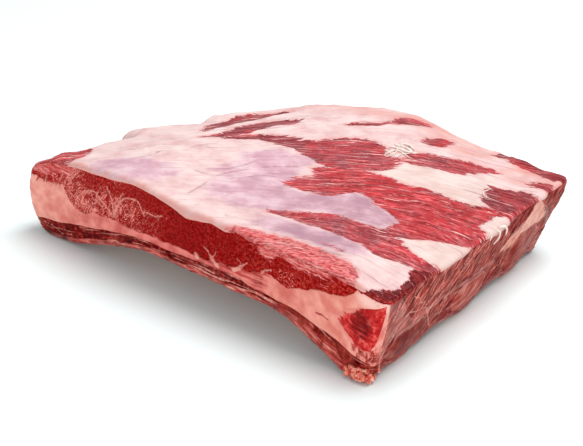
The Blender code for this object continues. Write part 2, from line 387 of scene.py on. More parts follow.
def note(obj, name, values):
    """Keeps one number, or three, for each point, for the material to read."""
    values = np.asarray(values, np.float32)
    kind = "FLOAT_VECTOR" if values.ndim == 2 else "FLOAT"
    kept = obj.data.attributes.new(name, kind, "POINT")
    kept.data.foreach_set("vector" if values.ndim == 2 else "value", values.ravel())


def colour(code):
    """A linear colour from its sRGB hex code."""
    parts = [int(code[k : k + 2], 16) / 255 for k in (1, 3, 5)]
    return tuple(p / 12.92 if p <= 0.04045 else ((p + 0.055) / 1.055) ** 2.4 for p in parts) + (1,)


def new_tree(tree):
    """Returns the function that adds a node to this tree."""

    def find(sockets, key):
        if isinstance(key, int):
            return sockets[key]
        return next(x for x in sockets if x.enabled and key in (x.name, None))

    def add(kind, *inputs, **named):
        """Adds a node. Its inputs come in the order of its sockets, or by name with _ for a space,
        next to its properties and the stops of its colour ramp. An input is a number, numbers, a
        hex code, or the node that it is linked to, if need be with the name of an output."""
        node = tree.nodes.new(kind if kind.startswith("Geometry") else "ShaderNode" + kind)
        for key in filter(lambda key: hasattr(node, key), list(named)):
            setattr(node, key, named.pop(key))
        for number, (at, code) in enumerate(named.pop("stops", ())):
            ramp_stops = node.color_ramp.elements
            if number == 0:
                ramp_stops.remove(ramp_stops[1])
                ramp_stops[0].position = at
            stop = ramp_stops.new(at) if number else ramp_stops[0]
            stop.color = colour(code)
        for key, value in [*enumerate(inputs), *named.items()]:
            socket = find(node.inputs, key if isinstance(key, int) else key.replace("_", " "))
            source, output = value if isinstance(value, tuple) and len(value) == 2 else (value, None)
            if isinstance(source, bpy.types.Node):
                tree.links.new(find(source.outputs, output), socket)
            else:
                hex_code = isinstance(value, str) and value.startswith("#")
                socket.default_value = colour(value) if hex_code else value
        return node

    return add


def new_material(name, numbers="", places=""):
    """Returns an empty material, the function that adds its nodes, and what it reads from its
    piece: a number, or three in one, that the piece keeps for each point under that name."""
    material = bpy.data.materials.new(name)
    material.use_nodes = True
    material.node_tree.nodes.clear()
    add = new_tree(material.node_tree)
    read = {key: (add("Attribute", attribute_name=key), "Fac") for key in numbers.split()}
    for key in places.split():
        read[key] = add("Attribute", attribute_name=key), "Vector"
    return material, add, read


# Settings of a Map Range node that eases in and out.
EASED = {"interpolation_type": "SMOOTHSTEP"}


def drawn_out(add, at, size, detail, roughness=0.5, distortion=0.0, turn=(0, 0, 0), start=(0, 0, 0)):
    """A pattern of uneven streaks, whose length, width and thickness are given in metres."""
    spot = add("Mapping", vector_type="TEXTURE", Vector=at, Location=start, Rotation=turn, Scale=size)
    return add(
        "TexNoise", Vector=spot, Scale=1, Detail=detail, Roughness=roughness, Distortion=distortion
    )


def rib_half(level):
    """Half a rib's width, at a level from 0, its foot, to 1, its top."""
    return RIB_HALF_WIDTH * np.interp(level, np.linspace(0, 1, 5), SIDE_PROFILE)


def rib_side(number, side):
    """The function that tells where across the slab one side of a rib is."""

    def wall(s, level):
        front, back = plan(s, 0 * s)[..., 1], plan(s, 0 * s + 1)[..., 1]
        return (rib_line(number, s) + side * rib_half(level) - front) / (back - front)

    return wall


# How far neighbours overlap, as a share of the way across, and how round the sawn edges are.
BEAM_OVERLAP = 0.0007
SAW_ROUND = 0.0005


def beam(near, far, stations, across, up):
    """A piece that runs the length of the slab between two walls, with both ends finely divided."""
    skin = Skin()
    u, v = np.linspace(0, 1, across + 1)[:, None], np.linspace(0, 1, up + 1)[None, :]
    edge = np.minimum(np.minimum(u, 1 - u) * across, np.minimum(v, 1 - v) * up)
    tuck = SAW_ROUND / WIDTH * (1 - np.clip(edge, 0, 1))

    def section(s):
        """The points of the piece's cross section at s."""
        s = np.broadcast_to(s, (across + 1, up + 1)).astype(float)
        level = v + 0 * u
        a, b = near(s, level), far(s, level)
        t = a - BEAM_OVERLAP * (a > 0) + (b - a + BEAM_OVERLAP * ((a > 0) * 1.0 + (b < 1))) * u
        low, high = over_pleura(s, t) - LAP, seam_under(s, t) + LAP
        return s, t, low + (high - low) * v

    first = skin.add(*section(tuck))
    last = skin.add(*section(1 - tuck))
    skin.grid(first)
    skin.grid(last)
    previous = skin.around(first)
    for s in np.linspace(0, 1, stations + 2)[1:-1]:
        s, t, z = section(np.array(s))
        ring = skin.add(skin.around(s), skin.around(t), skin.around(z))
        skin.band(previous, ring)
        previous = ring
    skin.band(previous, skin.around(last))
    return skin


def layers(s, t, z):
    """Coordinates for the looks of the cut sides: along, across, and up from the underside."""
    xy = plan(s, t)
    return np.stack([xy[..., 0], xy[..., 1], z - underside(s, t)], -1)


def slanted(flow):
    """The same coordinates, turned by 45 degrees so that the first runs along slanting bundles."""
    up, back = flow[:, 2], flow[:, 1]
    return np.stack([(up + back) * 0.707, (up - back) * 0.707, flow[:, 0]], -1)


def near_walls(s, t):
    """1 on the front cut, falling to 0 inside, and the same for the right end."""
    return 1 - ramp(0.01, 0.04, t), ramp(0.96, 0.99, s)


def cut_across(add, flow):
    """The look that all layers share where the slab was cut across the ribs: brown-red meat in
    bundles about 1.3 mm thick that slant up to the back, wiped over with dull fat in places."""
    bundles = drawn_out(add, flow, (0.006, 0.010, 0.0013), 3, 0.6, 0.5, turn=(0.79, 0, 0))
    clouds = add("TexNoise", Vector=flow, Scale=120, Detail=3)
    stops = ((0.36, "#640A06"), (0.45, "#92241C"), (0.53, "#AA453B"), (0.62, "#CC7468"), (0.72, "#E8A292"))
    streaks = add("ValToRGB", Fac=bundles, stops=stops)
    shade = add("MapRange", Value=clouds, From_Min=0.35, From_Max=0.65, To_Min=0.62, To_Max=1.15)
    meat = add("Mix", data_type="RGBA", blend_type="MULTIPLY", A=streaks, B=shade, Factor=1.0)
    deep = add("Attribute", attribute_name="deep")
    fresh = add("ValToRGB", Fac=bundles, stops=((0.40, "#5C0404"), (0.52, "#881816"), (0.64, "#B4463E")))
    meat = add("Mix", data_type="RGBA", Factor=(deep, "Fac"), A=meat, B=fresh)
    wiped = add("Attribute", attribute_name="wiped")
    dull = add("ValToRGB", Fac=clouds, stops=((0.36, "#D08273"), (0.50, "#E29684"), (0.64, "#EDAC9B")))
    return add("Mix", data_type="RGBA", Factor=(wiped, "Fac"), A=meat, B=dull)


def with_strands(add, meat, fat):
    """Lays strands of fat over a look, where the distance to the nearest one is under nought. Their
    edges wander by up to 0.9 mm."""
    strand = add("Attribute", attribute_name="strand")
    place_on = add("TexCoord")
    rough = add("TexNoise", Vector=(place_on, "Object"), Scale=900, Detail=3, Roughness=0.7)
    wander = add("MapRange", Value=rough, From_Min=0.3, From_Max=0.7, To_Min=-0.9, To_Max=0.9)
    edge = add("Math", (strand, "Fac"), wander, operation="ADD")
    inside = add("MapRange", **EASED, Value=edge, From_Min=0.4, From_Max=-0.5, To_Max=0.8)
    return add("Mix", data_type="RGBA", Factor=inside, A=meat, B=fat)


def sawn_bone():
    """Sawn rib end: close-grained spongy bone smeared with fat and blood, which reads as a smooth
    brownish pink oval, duller than the wet meat around it."""
    material, add, read = new_material("sawn rib bone", "rim dark", "flow")
    smear = drawn_out(add, read["flow"], (0.008, 0.012, 0.003), 4, turn=(0.6, 0, 0))
    # Marrow cells are about 0.8 mm across.
    cells = add("TexVoronoi", Vector=read["flow"], Scale=1200)
    base = add("ValToRGB", Fac=smear, stops=((0.38, "#9A3226"), (0.52, "#B45145"), (0.66, "#D4857A")))
    deep = add("Mix", data_type="RGBA", Factor=read["dark"], A=base, B="#701008")
    speck = add("MapRange", Value=cells, From_Min=0.1, From_Max=0.5, To_Min=0.25, To_Max=0)
    spotted = add("Mix", data_type="RGBA", Factor=speck, A=deep, B="#7A302B")
    pale = add("Mix", data_type="RGBA", Factor=read["rim"], A=spotted, B="#DFA195")
    pits = add("Bump", Height=cells, Strength=0.25, Distance=0.0004)
    shader = add(
        "BsdfPrincipled", Base_Color=pale, Normal=pits, Roughness=0.36, IOR=1.45, Specular_IOR_Level=0.06
    )
    add("OutputMaterial", Surface=shader)
    return material


# How dark each rib's end is, from the front one back.
RIB_DARKNESS = (0.70, 0.05, 0.35)
bone = sawn_bone()
for number in range(3):
    skin = beam(rib_side(number, -1), rib_side(number, 1), stations=24, across=64, up=34)
    rib = skin.piece(f"rib_{number + 1}")
    s, t, z = skin.spots()
    low, high = over_pleura(s, t), seam_under(s, t)
    level = np.clip((z - low) / (high - low), 0, 1)
    side = (plan(s, t)[:, 1] - rib_line(number, s)) / rib_half(level)
    flow = layers(s, t, z)
    depth = np.minimum((1 - np.abs(side)) * RIB_HALF_WIDTH, np.minimum(level, 1 - level) * (high - low))
    rough_depth = depth + 0.0012 * grain(flow, 0.004, 50)
    lift(rib, 0.0005 * grain(flow, 0.009, 30 + number) + 0.0018 * ramp(0, 0.009, depth))
    note(rib, "rim", 0.5 * (1 - ramp(0.0004, 0.0022, rough_depth)) * ramp(0.3, 0.9, level))
    lower = 0.5 * (1 - ramp(0, 0.5, level)) * (1 - ramp(0.0, 0.003, rough_depth))
    patchy = RIB_DARKNESS[number] * (1 + 0.9 * grain(flow, 0.007, 40 + number))
    note(rib, "dark", np.clip(patchy + lower, 0, 1))
    note(rib, "flow", flow)
    rib.data.materials.append(bone)
    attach(rib, "root")
    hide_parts(f"rib_{number + 1}")


# ------------------------------------------------- meat between the ribs
# Four strips of intercostal meat fill the gaps between the ribs and flank them front and back.
# It is dark, wet muscle in thin sheets with fat between, so the cut side shows long fine lines.


def edge_of_slab(t):
    """The function that tells where across the slab its front or its back is."""
    return lambda s, level: t + 0 * s


def outline(points, lay, closed=True, steps=5):
    """Points close together along the smooth line through a few places, laid out in metres."""
    p = np.array(points)
    k = np.linspace(0, 1, steps, endpoint=False)[:, None]
    found = []
    for i in range(len(p) if closed else len(p) - 1):
        if closed:
            a, b, c, d = p[i - 1], p[i], p[(i + 1) % len(p)], p[(i + 2) % len(p)]
        else:
            a, b, c, d = p[max(i - 1, 0)], p[i], p[i + 1], p[min(i + 2, len(p) - 1)]
        bend = (2 * a - 5 * b + 4 * c - d) * k**2 + (3 * b - a - 3 * c + d) * k**3
        found.append((2 * b + (c - a) * k + bend) / 2)
    if not closed:
        found.append(p[-1:])
    found = np.concatenate(found)
    return lay(found[:, 0], found[:, 1])


def distance(places, line, closed=True):
    """How far each place is from a line. If it is closed, that is negative outside it."""
    best, inside = np.full(len(places), 1.0), np.zeros(len(places), bool)
    x, y = places[:, 0], places[:, 1]
    for (ax, ay), (bx, by) in zip(line, np.roll(line, -1, 0) if closed else line[1:]):
        dx, dy = bx - ax, by - ay
        k = np.clip(((x - ax) * dx + (y - ay) * dy) / (dx * dx + dy * dy + 1e-15), 0, 1)
        best = np.minimum(best, (x - ax - k * dx) ** 2 + (y - ay - k * dy) ** 2)
        if closed and ay != by:
            inside ^= ((ay > y) != (by > y)) & (x < ax + (y - ay) * dx / dy)
    return np.sqrt(best) * (np.where(inside, 1, -1) if closed else 1)


# Mean length and height of the front cut and of the right end.
FRONT_SIZE = (0.318, 0.066)
RIGHT_SIZE = (0.226, 0.062)


def on_front(s, w):
    """Places on the front cut in metres, from its shares."""
    return np.stack([s * FRONT_SIZE[0], w * FRONT_SIZE[1]], -1)


def on_right(t, w):
    """Places on the right end in metres, from its shares."""
    return np.stack([t * RIGHT_SIZE[0], w * RIGHT_SIZE[1]], -1)


# Strands of fat that branch through the cut faces: thickness in millimetres, then places along
# and up the front.
FRONT_STRANDS = (
    (1.3, [(0.262, 0.42), (0.240, 0.54), (0.222, 0.63), (0.206, 0.69), (0.180, 0.68)]),
    (1.2, [(0.265, 0.40), (0.262, 0.59), (0.256, 0.69), (0.246, 0.78)]),
    (1.5, [(0.265, 0.40), (0.278, 0.55), (0.295, 0.67), (0.318, 0.72), (0.342, 0.72), (0.352, 0.64),
     (0.362, 0.55)]),
    (0.9, [(0.285, 0.60), (0.288, 0.69), (0.297, 0.76)]),
    (1.1, [(0.357, 0.60), (0.376, 0.62), (0.395, 0.62), (0.418, 0.69)]),
    (0.9, [(0.173, 0.66), (0.193, 0.66), (0.201, 0.60), (0.216, 0.57), (0.232, 0.50)]),
    (0.8, [(0.205, 0.53), (0.216, 0.59), (0.212, 0.63), (0.220, 0.70)]),
    (0.8, [(0.150, 0.60), (0.165, 0.52), (0.190, 0.48), (0.215, 0.44)]),
    (0.8, [(0.310, 0.46), (0.330, 0.54), (0.335, 0.62)]),
    (0.8, [(0.104, 0.90), (0.099, 0.80), (0.089, 0.66), (0.085, 0.58)]),
    (0.9, [(0.123, 0.88), (0.113, 0.76), (0.109, 0.62)]),
    (0.7, [(0.070, 0.82), (0.078, 0.72), (0.075, 0.60)]),
    (0.7, [(0.143, 0.88), (0.133, 0.80), (0.130, 0.74)]),
    (0.7, [(0.052, 0.84), (0.055, 0.74), (0.050, 0.64)]),
    (1.0, [(0.566, 0.32), (0.558, 0.40), (0.551, 0.48), (0.541, 0.52)]),
    (3.4, [(0.578, 0.29), (0.569, 0.36)]),
    (2.2, [(0.569, 0.36), (0.561, 0.42)]),
    (0.8, [(0.560, 0.40), (0.571, 0.45), (0.573, 0.51)]),
    (1.2, [(0.640, 0.38), (0.650, 0.48), (0.658, 0.53)]),
    (3.8, [(0.625, 0.34), (0.637, 0.40)]),
    (2.4, [(0.637, 0.40), (0.644, 0.46)]),
    (0.8, [(0.648, 0.46), (0.640, 0.52), (0.631, 0.54)]),
    (1.6, [(0.700, 0.48), (0.708, 0.55), (0.722, 0.59)]),
    (3.2, [(0.520, 0.28), (0.516, 0.34)]),
    (0.2, [(0.010, 0.15), (0.040, 0.12), (0.080, 0.14), (0.120, 0.13)]),
    (0.2, [(0.030, 0.17), (0.060, 0.14), (0.075, 0.09), (0.110, 0.10)]),
)  # fmt: skip
# The same across and up the right end, fanning out of knots of fat.
RIGHT_STRANDS = (
    (1.6, [(0.211, 0.54), (0.233, 0.63), (0.260, 0.72), (0.285, 0.88), (0.313, 0.97)]),
    (1.1, [(0.208, 0.60), (0.231, 0.76), (0.260, 0.87), (0.285, 0.98)]),
    (1.6, [(0.318, 0.22), (0.323, 0.36), (0.325, 0.50), (0.353, 0.66), (0.409, 0.80), (0.474, 0.88),
     (0.530, 0.97)]),
    (1.2, [(0.211, 0.56), (0.185, 0.61), (0.160, 0.62), (0.125, 0.66), (0.100, 0.65)]),
    (1.1, [(0.211, 0.56), (0.195, 0.66), (0.170, 0.71), (0.155, 0.79), (0.125, 0.84)]),
    (1.4, [(0.211, 0.56), (0.232, 0.44), (0.241, 0.36), (0.270, 0.20), (0.285, 0.12)]),
    (1.2, [(0.498, 0.78), (0.530, 0.82), (0.545, 0.86), (0.573, 0.94)]),
    (1.1, [(0.381, 0.72), (0.400, 0.80), (0.429, 0.86), (0.459, 0.92)]),
    (1.0, [(0.250, 0.60), (0.290, 0.74), (0.340, 0.84), (0.380, 0.96)]),
    (1.0, [(0.230, 0.50), (0.280, 0.58), (0.330, 0.70), (0.380, 0.80), (0.420, 0.95)]),
    (0.9, [(0.120, 0.66), (0.160, 0.78), (0.210, 0.88), (0.240, 0.96)]),
    (0.9, [(0.060, 0.66), (0.100, 0.76), (0.140, 0.90), (0.165, 0.97)]),
    (0.9, [(0.035, 0.70), (0.060, 0.84), (0.085, 0.95)]),
    (1.5, [(0.000, 0.92), (0.010, 0.72), (0.008, 0.54), (0.014, 0.36), (0.030, 0.20), (0.045, 0.10)]),
    (1.0, [(0.020, 0.34), (0.055, 0.44), (0.075, 0.54)]),
    (1.1, [(0.200, 0.34), (0.225, 0.24), (0.245, 0.14)]),
    (1.0, [(0.330, 0.52), (0.300, 0.40), (0.290, 0.30)]),
    (1.0, [(0.560, 0.62), (0.590, 0.70), (0.620, 0.80), (0.640, 0.90)]),
    (0.9, [(0.590, 0.44), (0.620, 0.52), (0.655, 0.60), (0.690, 0.66)]),
    (0.9, [(0.700, 0.40), (0.730, 0.48), (0.755, 0.58)]),
    (1.0, [(0.756, 0.50), (0.775, 0.38), (0.795, 0.24)]),
)  # fmt: skip
# Patches of the right end that are fresh dark meat.
RIGHT_DEEP = (
    [(0.315, 0.24), (0.350, 0.33), (0.444, 0.36), (0.470, 0.17), (0.396, 0.08), (0.330, 0.10)],
    [(0.604, 0.87), (0.66, 0.97), (0.80, 1.02), (0.86, 0.96), (0.80, 0.90), (0.74, 0.80), (0.68, 0.76)],
    [(0.00, 1.0), (0.10, 1.0), (0.09, 0.90), (0.03, 0.86), (0.0, 0.88)],
    [(0.54, 0.20), (0.60, 0.30), (0.67, 0.28), (0.70, 0.12), (0.60, 0.08)],
    [(0.04, 0.30), (0.07, 0.42), (0.10, 0.30), (0.09, 0.12), (0.05, 0.12)],
)  # fmt: skip
# Patches of it that dull fat is wiped over.
RIGHT_WIPED = (
    [(0.62, 0.58), (0.67, 0.67), (0.73, 0.72), (0.775, 0.84), (0.80, 0.95), (0.83, 0.97), (0.855, 0.86),
     (0.88, 0.75), (0.905, 0.64), (0.87, 0.56), (0.79, 0.53), (0.72, 0.51), (0.66, 0.52)],
    [(0.77, 0.34), (0.80, 0.40), (0.84, 0.30), (0.90, 0.14), (0.87, 0.06), (0.82, 0.14)],
)  # fmt: skip


# What part of a strand's thickness shows beside its line, on the front cut and at the right end.
FRONT_SHOWN, RIGHT_SHOWN = 0.5, 0.3
NO_STRAND = 9.0


def note_walls(obj, s, t, z, shown=1.0):
    """Keeps how far each point is from the nearest strand of fat, in millimetres, and whether it
    lies in a patch of dark meat or of wiped fat. Also raises the strands a little."""
    w = share_of_height(s, t, z)
    strand = np.full(len(s), NO_STRAND)
    for near, lay, table, along, part in (
        (t < 0.03, on_front, FRONT_STRANDS, s, FRONT_SHOWN),
        (s > 0.97, on_right, RIGHT_STRANDS, t, RIGHT_SHOWN),
    ):
        places = lay(along[near], w[near])
        for width, points in table:
            away = distance(places, outline(points, lay, closed=False), closed=False)
            strand[near] = np.minimum(strand[near], away * 1000 - width * part)
    near = s > 0.97
    places = on_right(t[near], w[near])
    rough = 0.0012 * grain(np.stack([t, w, 0 * t], -1)[near], 0.03, 65)
    for name, outlines in (("deep", RIGHT_DEEP), ("wiped", RIGHT_WIPED)):
        inside = np.zeros(len(s))
        for points in outlines:
            found = ramp(-0.0012, 0.0012, distance(places, outline(points, on_right)) + rough)
            inside[near] = np.maximum(inside[near], found)
        note(obj, name, inside)
    note(obj, "strand", strand)
    lift(obj, shown * 0.0002 * (1 - ramp(-0.6, 0.5, strand)))


def cut_rib_meat():
    """Intercostal meat, knife cut: near-black red with long thin threads of fat lying in it, wet
    and mottled where the sheets were torn."""
    material, add, read = new_material("cut rib meat", "fat light end", "flow")
    # Sheets of muscle are 1 to 2 mm thick and run the length of the slab.
    sheets = drawn_out(add, read["flow"], (0.030, 0.02, 0.0017), 3, 0.55, 0.7)
    knots = add("TexNoise", Vector=read["flow"], Scale=380, Detail=3, Roughness=0.6)
    stops = ((0.38, "#460000"), (0.50, "#6C0200"), (0.62, "#9A2620"), (0.74, "#B8483F"))
    lean = add("ValToRGB", Fac=knots, stops=stops)
    lit = add("Mix", data_type="RGBA", Factor=read["light"], A=lean, B="#B84A40")
    across = cut_across(add, read["flow"])
    meat = add("Mix", data_type="RGBA", Factor=read["end"], A=lit, B=across)
    rich = add("Math", sheets, read["fat"], operation="ADD")
    threads = add("MapRange", **EASED, Value=rich, From_Min=0.98, From_Max=1.10)
    fatty = add("ValToRGB", Fac=knots, stops=((0.35, "#C2655B"), (0.65, "#EBA597")))
    both = add("Mix", data_type="RGBA", Factor=threads, A=meat, B=fatty)
    whole = with_strands(add, both, "#E9A596")
    relief = add("Bump", Height=sheets, Strength=0.5, Distance=0.0006)
    shader = add(
        "BsdfPrincipled", Base_Color=whole, Normal=relief, Roughness=0.34, IOR=1.4,
        Specular_IOR_Level=0.04,
    )
    add("OutputMaterial", Surface=shader)
    return material


rib_meat = cut_rib_meat()
# Each strip's two sides, and how many faces it has along, across and up.
STRIPS = (
    (edge_of_slab(0.0), rib_side(0, -1), 440, 24, 26),
    (rib_side(0, 1), rib_side(1, -1), 24, 44, 34),
    (rib_side(1, 1), rib_side(2, -1), 24, 44, 34),
    (rib_side(2, 1), edge_of_slab(1.0), 300, 24, 26),
)
for number, (near, far, stations, across, up) in enumerate(STRIPS, 1):
    skin = beam(near, far, stations, across, up)
    strip = skin.piece(f"between_ribs_{number}")
    s, t, z = skin.spots()
    flow = layers(s, t, z)
    front, right = near_walls(s, t)
    lumpy = np.maximum(right * 0.7, front * ramp(0.70, 0.80, s))
    lift(
        strip,
        0.0005 * grain(flow, 0.010, 60 + number)
        + 0.0006 * grain(flow / (14, 1, 1), 0.0018, 70) * front
        + 0.0007 * grain(flow / (2.5, 1, 1), 0.0040, 71) * lumpy
        + 0.0004 * right * grain(slanted(flow) / (6, 1, 1), 0.0018, 72),
    )
    spread = [0, 0.12, 0.30, 0.42, 0.52, 0.72, 0.80, 1.0]
    fatty = np.interp(s, spread, [0.34, 0.36, 0.38, 0.45, 0.54, 0.49, 0.37, 0.39])
    note(strip, "fat", front * fatty + (1 - front) * 0.40 + 0.06 * grain(flow, 0.012, 73))
    note(strip, "light", np.clip(0.28 * front * ramp(0.68, 0.85, s) + 0.5 * grain(flow, 0.007, 74), 0, 0.85))
    note(strip, "end", right * (1 - front))
    note(strip, "flow", flow)
    note_walls(strip, s, t, z)
    strip.data.materials.append(rib_meat)
    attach(strip, "root")
    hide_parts(f"between_ribs_{number}")


# ------------------------------------------------------------ the membrane
# Under the ribs lies the pleura: a tough shiny membrane over a little fat. It stays on the
# bones when the slab is cut, and the ribs and the meat between them show through it.

# A sheet's rim: how many faces it has outwards, how far it stands off the wall, how far its lip is
# tucked in, and two last rings behind the lip, told by how far in and how far on they lie.
SKIRT_CELLS = 6
SKIRT_PROUD = 0.0004
SKIRT_TUCK = 0.0008
TURNED_IN = ((0.0010, 0.0001), (0.0024, -0.0002))
PAST_THE_WALL = 9


def sheet(face, towards, radius, drape, cells, hidden):
    """A sheet over the whole slab whose rim turns through a radius and runs along the side walls.
    Also returns how far out on the rim each point is, with -1 for points that never show."""
    skin = Skin()

    def steps(count):
        """How far along, from 0 to 1, and how far out past the rim's turn, from -1 to 1."""
        out = np.arange(1, SKIRT_CELLS + 1) / SKIRT_CELLS
        inner = np.linspace(0, 1, count + 1)
        return np.concatenate([0 * out, inner, 0 * out + 1]), np.concatenate([-out[::-1], 0 * inner, out])

    (along, out_s), (across, out_t) = steps(cells[0]), steps(cells[1])
    base_s = radius / WIDTH + (1 - 2 * radius / WIDTH) * along[:, None] + 0 * across[None, :]
    base_t = radius / DEPTH + (1 - 2 * radius / DEPTH) * across[None, :] + 0 * along[:, None]
    out_s, out_t = out_s[:, None] + 0 * base_s, out_t[None, :] + 0 * base_s
    far = np.maximum(np.abs(out_s), np.abs(out_t))
    turn = radius * math.pi / 2
    edge_s = np.clip(base_s + out_s * PAST_THE_WALL, 0, 1)
    edge_t = np.clip(base_t + out_t * PAST_THE_WALL, 0, 1)
    length = far * (turn + drape(edge_s, edge_t))
    angle = np.minimum(length, turn) / radius
    outward = radius * np.sin(angle)
    drop = radius * (1 - np.cos(angle)) + np.maximum(length - turn, 0)
    share = outward / np.maximum(far, 1e-9)
    s = np.clip(base_s + out_s * share / WIDTH, 0, 1)
    t = np.clip(base_t + out_t * share / DEPTH, 0, 1)
    z = face(s, t) + towards * drop
    index = skin.add(s, t, z)
    skin.grid(index)
    rim, rim_s, rim_t, rim_z = [skin.around(values) for values in (index, s, t, z)]
    for inset, on in TURNED_IN:
        ks = 0.5 + (rim_s - 0.5) * (1 - 2 * inset / WIDTH)
        kt = 0.5 + (rim_t - 0.5) * (1 - 2 * inset / DEPTH)
        ring = skin.add(ks, kt, rim_z + towards * on)
        skin.band(rim, ring)
        rim = ring
    skin.close_inside(rim, rim_s, rim_t, hidden)
    reach = np.full(skin.size, -1.0)
    reach[: index.size] = far.ravel()
    return skin, reach


def proud(reach):
    """How far a sheet's rim stands off the wall: it is turned in at its very edge."""
    return SKIRT_PROUD * ramp(0.2, 0.5, reach) - (SKIRT_PROUD + SKIRT_TUCK) * ramp(0.80, 1.0, reach)


def membrane():
    """Pleura: glassy, thin and stretched, yellowish pink over fat and dusky over the meat."""
    material, add, read = new_material("pleura over the ribs", "meat rim dark", "flow")
    # Meat fibres under the membrane are near 1.4 mm thick and cross from rib to rib.
    fibres = drawn_out(add, read["flow"], (0.0014, 0.014, 0.01), 3, turn=(0, 0, 0.5))
    clouds = add("TexNoise", Vector=read["flow"], Scale=60, Detail=5)
    fat = add("ValToRGB", Fac=clouds, stops=((0.35, "#C48474"), (0.65, "#E5BCAA")))
    under = add("ValToRGB", Fac=fibres, stops=((0.35, "#7A2622"), (0.65, "#B25A54")))
    much = add("Math", clouds, read["meat"], operation="ADD")
    showing = add("MapRange", **EASED, Value=much, From_Min=0.75, From_Max=1.2, To_Max=0.9)
    both = add("Mix", data_type="RGBA", Factor=showing, A=fat, B=under)
    # At the cut edge the layers under it show as lines about 2 mm apart.
    lumps = drawn_out(add, read["flow"], (0.010, 0.010, 0.0018), 4, 0.65)
    stops = ((0.36, "#880C06"), (0.46, "#BA3A32"), (0.58, "#D46A5E"), (0.72, "#F0B49E"))
    edge = add("ValToRGB", Fac=lumps, stops=stops)
    deep = add("ValToRGB", Fac=lumps, stops=((0.40, "#450505"), (0.55, "#7A1C18"), (0.68, "#C06A5E")))
    edge = add("Mix", data_type="RGBA", Factor=read["dark"], A=edge, B=deep)
    whole = add("Mix", data_type="RGBA", Factor=read["rim"], A=both, B=edge)
    relief = add("Bump", Height=fibres, Strength=0.3, Distance=0.0008)
    shader = add(
        "BsdfPrincipled", Base_Color=whole, Normal=relief, Roughness=0.34, IOR=1.42,
        Specular_IOR_Level=0.3, Coat_Weight=0.1, Coat_Roughness=0.2,
    )
    add("OutputMaterial", Surface=shader)
    return material


PLEURA_ROUND = 0.0012
# How much further than its own thickness it runs up the walls, in millimetres.
PLEURA_RISE = (
    (0, 0.2), (0.45, 0.4), (0.55, 0), (0.72, 0), (0.77, 1.5), (0.82, 4.0), (0.88, 4.2), (0.93, 2), (1, 1),
)  # fmt: skip
PLEURA_RISE_ELSEWHERE = 0.7


def spread_out(s, t):
    """Places across the slab in metres, as if it were flat and square, for uneven borders."""
    return np.stack([s * WIDTH, t * DEPTH, 0 * s], -1)


def pleura_drape(s, t):
    """How far the membrane's rim runs up the walls."""
    rise = np.where(t < 0.015, read_off(PLEURA_RISE, s), PLEURA_RISE_ELSEWHERE) / 1000
    uneven = (0.0008 + 0.4 * rise) * (1 + grain(spread_out(s, t), 0.009, 79))
    return PLEURA - PLEURA_ROUND + LAP + rise + uneven


skin, reach = sheet(
    face=underside,
    towards=1,
    radius=PLEURA_ROUND,
    drape=pleura_drape,
    cells=(220, 160),
    hidden=lambda s, t: over_pleura(s, t) + LAP,
)
pleura = skin.piece("pleura_fat")
s, t, z = skin.spots()
flow = layers(s, t, z)
lumpy = 0.0005 * grain(flow, 0.010, 80) + 0.0004 * grain(flow, 0.0035, 81)
off_table = ramp(0, 0.004, z - z.min())
lift(pleura, (reach >= 0) * (lumpy * off_table + proud(reach)))
note(pleura, "meat", 0.75 * (1 - over_ribs(s, t, 0.024)) + 0.25 * grain(flow, 0.03, 82) + 0.1)
note(pleura, "rim", ramp(0.0004, 0.0016, flow[:, 2]))
bloody = np.where(t < 0.03, 0.95 - 0.75 * ramp(0.06, 0.14, s) + 0.1 * ramp(0.9, 1, s), 0.55)
note(pleura, "dark", np.clip(bloody + 0.6 * grain(flow, 0.008, 83), 0, 1))
note(pleura, "flow", flow)
pleura.data.materials.append(membrane())
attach(pleura, "root")
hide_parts("pleura_fat")


# ------------------------------------------------------------ the fat seam
# Between the ribs and the upper muscle runs a seam of firm fat, thick at the left end and at the
# front right. It is one natural layer, cut flush with the meat on all four sides.

SEAM_THICKNESS = 0.0045
THINNEST_SEAM = 0.0015
THINNEST_LEAN = 0.0034
# How many faces a layer has along its front, right, back and left walls.
SIDE_COUNTS = (640, 380, 250, 230)
# How high up the front wall the seam ends and the lean begins, as a share of the slab's height.
SEAM_TOP = (
    (0, 0.80), (0.03, 0.76), (0.065, 0.70), (0.104, 0.72), (0.112, 0.64), (0.120, 0.55), (0.136, 0.46),
    (0.150, 0.42), (0.170, 0.40), (0.218, 0.395), (0.255, 0.37), (0.30, 0.31), (0.33, 0.285), (0.408, 0.29),
    (0.47, 0.32), (0.54, 0.30), (0.615, 0.36), (0.68, 0.45), (0.725, 0.52), (0.752, 0.46), (0.78, 0.49),
    (0.814, 0.59), (0.846, 0.70), (0.866, 0.71), (0.902, 0.78), (0.920, 0.87), (0.932, 0.96), (1, 0.98),
)  # fmt: skip
# How much more of it there is near the back of the right end, in millimetres.
FAR_RIGHT_KNOT = ((0.60, 0), (0.67, 2), (0.76, 6), (0.80, 13), (0.84, 13), (0.88, 6), (0.95, 0), (1, 0))
# The rounding of a layer's upper and lower border, told by how far up and how far in it lies.
BORDER = ((-LAP, 0.0006), (-0.00005, 0.0002), (0.0003, 0.0))


